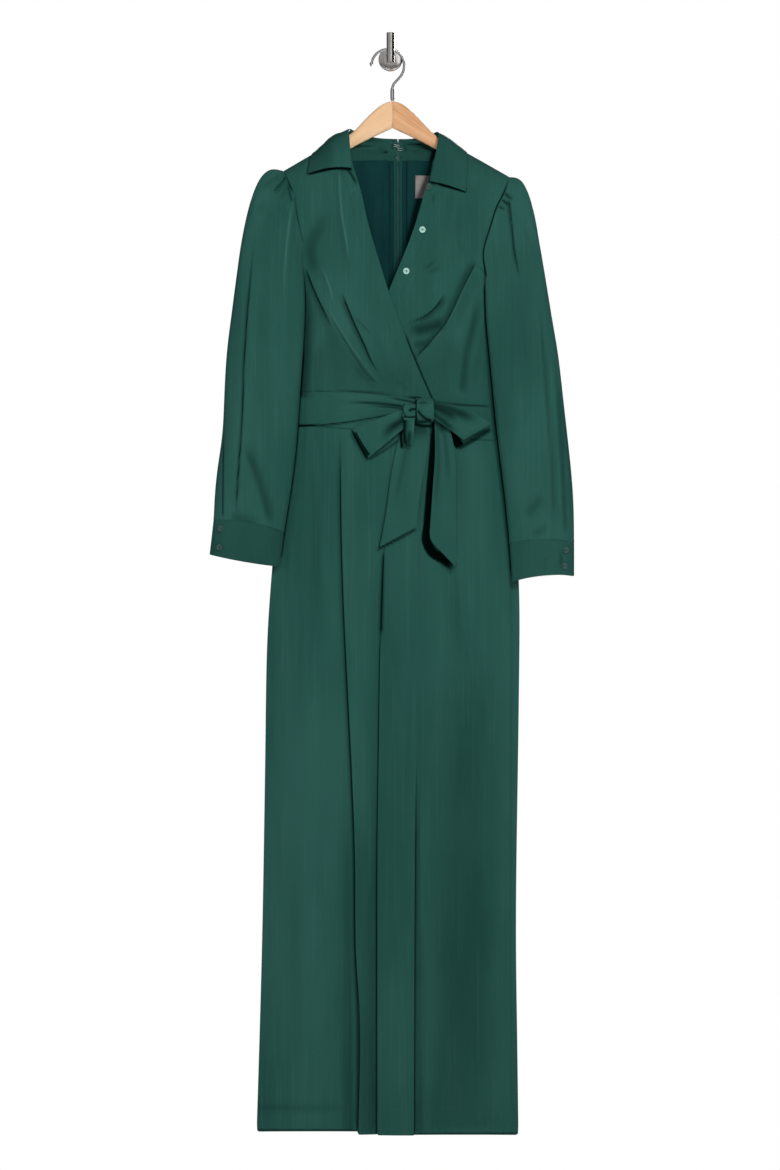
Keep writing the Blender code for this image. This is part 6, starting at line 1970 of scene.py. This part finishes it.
@dataclass
class Zip:
    """The back zip as it shows inside: its coil, the slider and the pull tab on its pin."""

    top: float = 162.0
    bottom: float = 612.0
    bend: tuple[tuple[float, ...], ...] = ((500, 570, 660), (ZIP_X, 9.0, 0.0))
    teeth: tuple[float, ...] = (1.35, 0.75, 2.3, 0.7)
    tack: tuple[float, ...] = (5.0, 0.9, 8.0, 151.0)
    tack_reach: float = 12.0

    def sew_tack(self, finish: Wardrobe, inside: dict) -> None:
        """Sews the end of the zip to the collar with a small bar of thread.

        Args:
            finish: the materials.
            inside: the tapes by name.
        """
        wide, deep, high, drop = self.tack
        back = inside["tape_left"].data.vertices
        near = min(point.co.y / MM for point in back if abs(-point.co.z / MM - drop) < self.tack_reach)
        corners = np.array([(x, y, z) for z in (-1, 1) for y in (-1, 1) for x in (-1, 1)]) / 2
        points = corners * (wide, deep, high) + (ZIP_X, near - 0.2 + deep / 2, -drop)
        faces = [(0, 2, 3, 1), (4, 5, 7, 6), (0, 1, 5, 4), (2, 6, 7, 3), (0, 4, 6, 2), (1, 3, 7, 5)]
        dress(solid("thread_zip_tack", points, faces), finish.thread)

    def make(self, finish: Wardrobe, inside: dict) -> None:
        """Lays the coil on the tapes and finishes the slider and the tab.

        Args:
            finish: the materials.
            inside: the tapes by name.
        """
        self.sew_tack(finish, inside)
        surface = Surface(inside["tape_left"])
        other = Surface(inside["tape_right"])
        drops = np.linspace(self.top, self.bottom, 60)
        centre = np.interp(drops, *self.bend)
        line = []
        for x, drop in zip(centre, drops):
            spot = surface.point(x, drop)
            spot = other.point(x, drop) if spot is None else spot
            if spot is None:
                spot = surface.point(x - 2.5, drop)
            if spot is not None:
                line.append((x, spot[1] - 0.1, -drop))
        maker = RowMaker("zip_row", True, finish.zip_coil)
        coil = maker.row("zip_coil_row", [np.array(line)], self.teeth)
        dress(coil, finish.zip_coil)
        hard_part("zip_slider", "slider_of_the_zip", finish.enamel, 0.7)
        hard_part("zip_pull_tab", "tab_of_the_zip", finish.enamel, 0.7, body=PULL_TAB)


@dataclass
class HookAndEye:
    """The wire hook and its eye at the top of the zip."""

    nodes: tuple[str, ...] = ("neck_hook", "neck_eye")

    def make(self, finish: Wardrobe) -> None:
        """Rounds the wires."""
        for node in self.nodes:
            hard_part(node, "wire_" + node, finish.silver, 0.3, 70)


@dataclass
class Hanger:
    """The wooden arms, mitred in the middle, and the chrome hook."""

    mitre: float = 3.0
    slack: float = 0.13
    wire_swell: float = 0.30

    def close_mitre(self, arm: Piece) -> None:
        """Glues the two arms' end faces together."""
        points = coordinates(arm.data)
        away = self.mitre - points[:, 0]
        points[:, 0] += np.sign(away) * self.slack * (abs(away) < 1.0)
        set_coordinates(arm.data, points)

    def make(self, finish: Wardrobe) -> None:
        """Refines the arms and the hook.

        Args:
            finish: the materials.
        """
        for side, material, slot in (
            ("left", finish.wood_left, "light_wood"),
            ("right", finish.wood_right, "warm_wood"),
        ):
            self.close_mitre(hard_part("hanger_arm_" + side, "arm_" + side, material, 0.97, 62))
        hook = hard_part("hanger_hook", "hook_of_the_hanger", finish.chrome, 0.4, 75)
        swell(hook, self.wire_swell)


@dataclass
class WallHook:
    """The round plate on the wall and the peg that carries the hanger."""

    dome: tuple[Point, ...] = (
        (17.6, 0.0), (18.0, -0.5), (18.0, -1.4), (17.5, -2.2), (16.0, -3.1), (13.0, -4.0), (9.0, -4.7),
        (5.0, -4.95),
    )
    sides: int = 72

    def plate(self) -> Piece:
        """The plate as a shallow dome turned about the y axis."""
        turns = circle(self.sides)
        profile = smooth_route(self.dome, 40)
        points = [(r * math.cos(t), y, r * math.sin(t)) for r, y in profile for t in turns]
        points += [(0.0, profile[0][1], 0.0), (0.0, profile[-1][1], 0.0)]
        return solid("metal_wall_plate", points, ring_faces(len(profile), self.sides))

    def make(self, finish: Wardrobe) -> None:
        """Turns the plate and refines the peg, with small bevels left on its edges."""
        plate = self.plate()
        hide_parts("wall_plate")
        dress(plate, finish.nickel)
        hard_part("wall_peg", "metal_wall_peg", finish.nickel, 0.85, 35)


@dataclass
class Studio:
    """Camera, light, sky and floor."""

    distance: float = 25.0
    frame_height: float = 1.755
    eye: tuple[float, float] = (-0.00075, -0.7905)
    plane_y: float = -0.075
    aim_z: float = -0.60
    sensor: float = 36.0
    sky: float = 0.11
    floor_z: float = -1.76
    floor_y: float = -3.7
    floor_radius: float = 6.0
    floor_thickness: float = 12.0
    floor_sides: int = 96
    rim_dark: float = 0.12
    card_strength: float = 1.5
    cards: tuple[Point, ...] = (
        (0.0, 0.22), (0.15, 0.26), (0.32, 0.24), (0.46, 0.36), (0.58, 0.22), (0.65, 0.80), (0.72, 1.0),
        (0.79, 0.30), (0.86, 0.02), (1.0, 0.02),
    )
    lamps: tuple[tuple[str, Colour, float, float], ...] = (
        ("key", (0.85, -2.7, 0.75), 46.0, 0.45),
        ("front", (0.15, -3.4, 0.05), 36.0, 1.0),
        ("edge", (-1.9, -2.3, -0.2), 9.0, 1.2),
        ("rear", (0.7, 2.8, 0.5), 70.0, 1.6),
    )

    def make(self, finish: Wardrobe) -> None:
        """Builds the studio.

        Args:
            finish: the materials.
        """
        scene = bpy.context.scene
        lens = bpy.data.cameras.new("camera")
        lens.sensor_width = self.sensor
        lens.lens = self.sensor * self.distance / self.frame_height
        lens.clip_start, lens.clip_end = 1.0, 60
        camera = bpy.data.objects.new("camera", lens)
        camera.location = (self.eye[0], self.plane_y - self.distance, self.eye[1])
        camera.rotation_euler = (math.pi / 2, 0, 0)
        scene.collection.objects.link(camera)
        scene.camera = camera
        aim = Vector((0, self.plane_y, self.aim_z))
        for name, place, power, size in self.lamps:
            lamp = bpy.data.lights.new(name, "AREA")
            lamp.energy, lamp.size = power, size
            lit = bpy.data.objects.new(name, lamp)
            lit.location = place
            lit.visible_glossy = name == "rear"
            lit.rotation_euler = (aim - Vector(place)).to_track_quat("-Z", "Y").to_euler()
            scene.collection.objects.link(lit)
        self.light_sky(scene)
        self.lay_floor(finish)
        scene.view_settings.view_transform = "Standard"
        scene.view_settings.look = "None"
        scene.view_settings.exposure = 0.0

    def light_sky(self, scene: bpy.types.Scene) -> None:
        """A sky that looks white, lights softly from above and shows metal dark and bright cards.

        Args:
            scene: what it is the sky of.
        """
        world = bpy.data.worlds.new("studio")
        scene.world = world
        world.use_nodes = True
        world.node_tree.nodes.clear()
        sky = Nodes(world.node_tree)
        where = sky.value("ShaderNodeTexCoord", None, "Generated")
        split = sky.node("ShaderNodeSeparateXYZ", {"Vector": where})

        def ranged(axis: str, *limits: float) -> Value:
            """A coordinate between the first two limits, as a number between the last two."""
            sockets = dict(zip(("From Min", "From Max", "To Min", "To Max"), limits))
            return sky.value("ShaderNodeMapRange", sockets | {"Value": sky.out(split, axis)})

        cards = sky.node("ShaderNodeValToRGB", {"Fac": ranged("X", -1.0, 1.0, 0.0, 1.0)})
        ramp = cards.color_ramp
        while len(ramp.elements) < len(self.cards):
            ramp.elements.new(1.0)
        for element, (place, value) in zip(ramp.elements, self.cards):
            element.position = place
            element.color = (value, value, value, 1)
        above = ranged("Z", -1.0, 1.0, self.sky * 0.45, self.sky * 1.4)
        behind = ranged("Y", -0.35, 0.30, self.card_strength, self.rim_dark)
        white, soft, shown = (
            sky.value("ShaderNodeBackground", {"Color": colour, "Strength": strength})
            for colour, strength in (((1, 1, 1), 1.0), ((1, 1, 1), above), (sky.out(cards), behind))
        )
        path = sky.node("ShaderNodeLightPath")
        metal = sky.value("ShaderNodeMixShader", {0: sky.out(path, "Is Glossy Ray"), 1: soft, 2: shown})
        seen = sky.value("ShaderNodeMixShader", {0: sky.out(path, "Is Camera Ray"), 1: metal, 2: white})
        sky.node("ShaderNodeOutputWorld", {"Surface": seen})

    def lay_floor(self, finish: Wardrobe) -> None:
        """A wide pale floor that ends well behind the garment.

        Args:
            finish: the materials.
        """
        count = self.floor_sides
        turns = circle(count)
        x, y = self.floor_radius * np.cos(turns), self.floor_y + self.floor_radius * np.sin(turns)
        ring = np.stack([x, y, np.full(count, self.floor_z)], -1) / MM
        rings = np.concatenate([ring, ring - (0, 0, self.floor_thickness)])
        faces = [tuple(range(count)), tuple(range(count, 2 * count))]
        faces += [(n, (n + 1) % count, count + (n + 1) % count, count + n) for n in range(count)]
        floor = solid("floor", rings, faces)
        floor.data.materials.append(finish.floor)
        floor.data.shade_flat()


def main() -> None:
    """Builds and dresses every sub-assembly in order."""
    logging.basicConfig(level=logging.INFO, format="%(name)s: %(message)s")
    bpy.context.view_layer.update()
    finish = Wardrobe()
    Studio().make(finish)
    WallHook().make(finish)
    Hanger().make(finish)
    Bodice().make(finish)
    inside = BackInside().make(finish)
    Collar().make(finish)
    arms = Sleeves().make(finish)
    Waist().make(finish)
    Bow().make(finish)
    legs = Trousers().make(finish)
    Buttons().make(finish)
    Stitching().make(finish, legs, arms, inside)
    Zip().make(finish, inside)
    HookAndEye().make(finish)


if __name__ == "__main__":
    main()
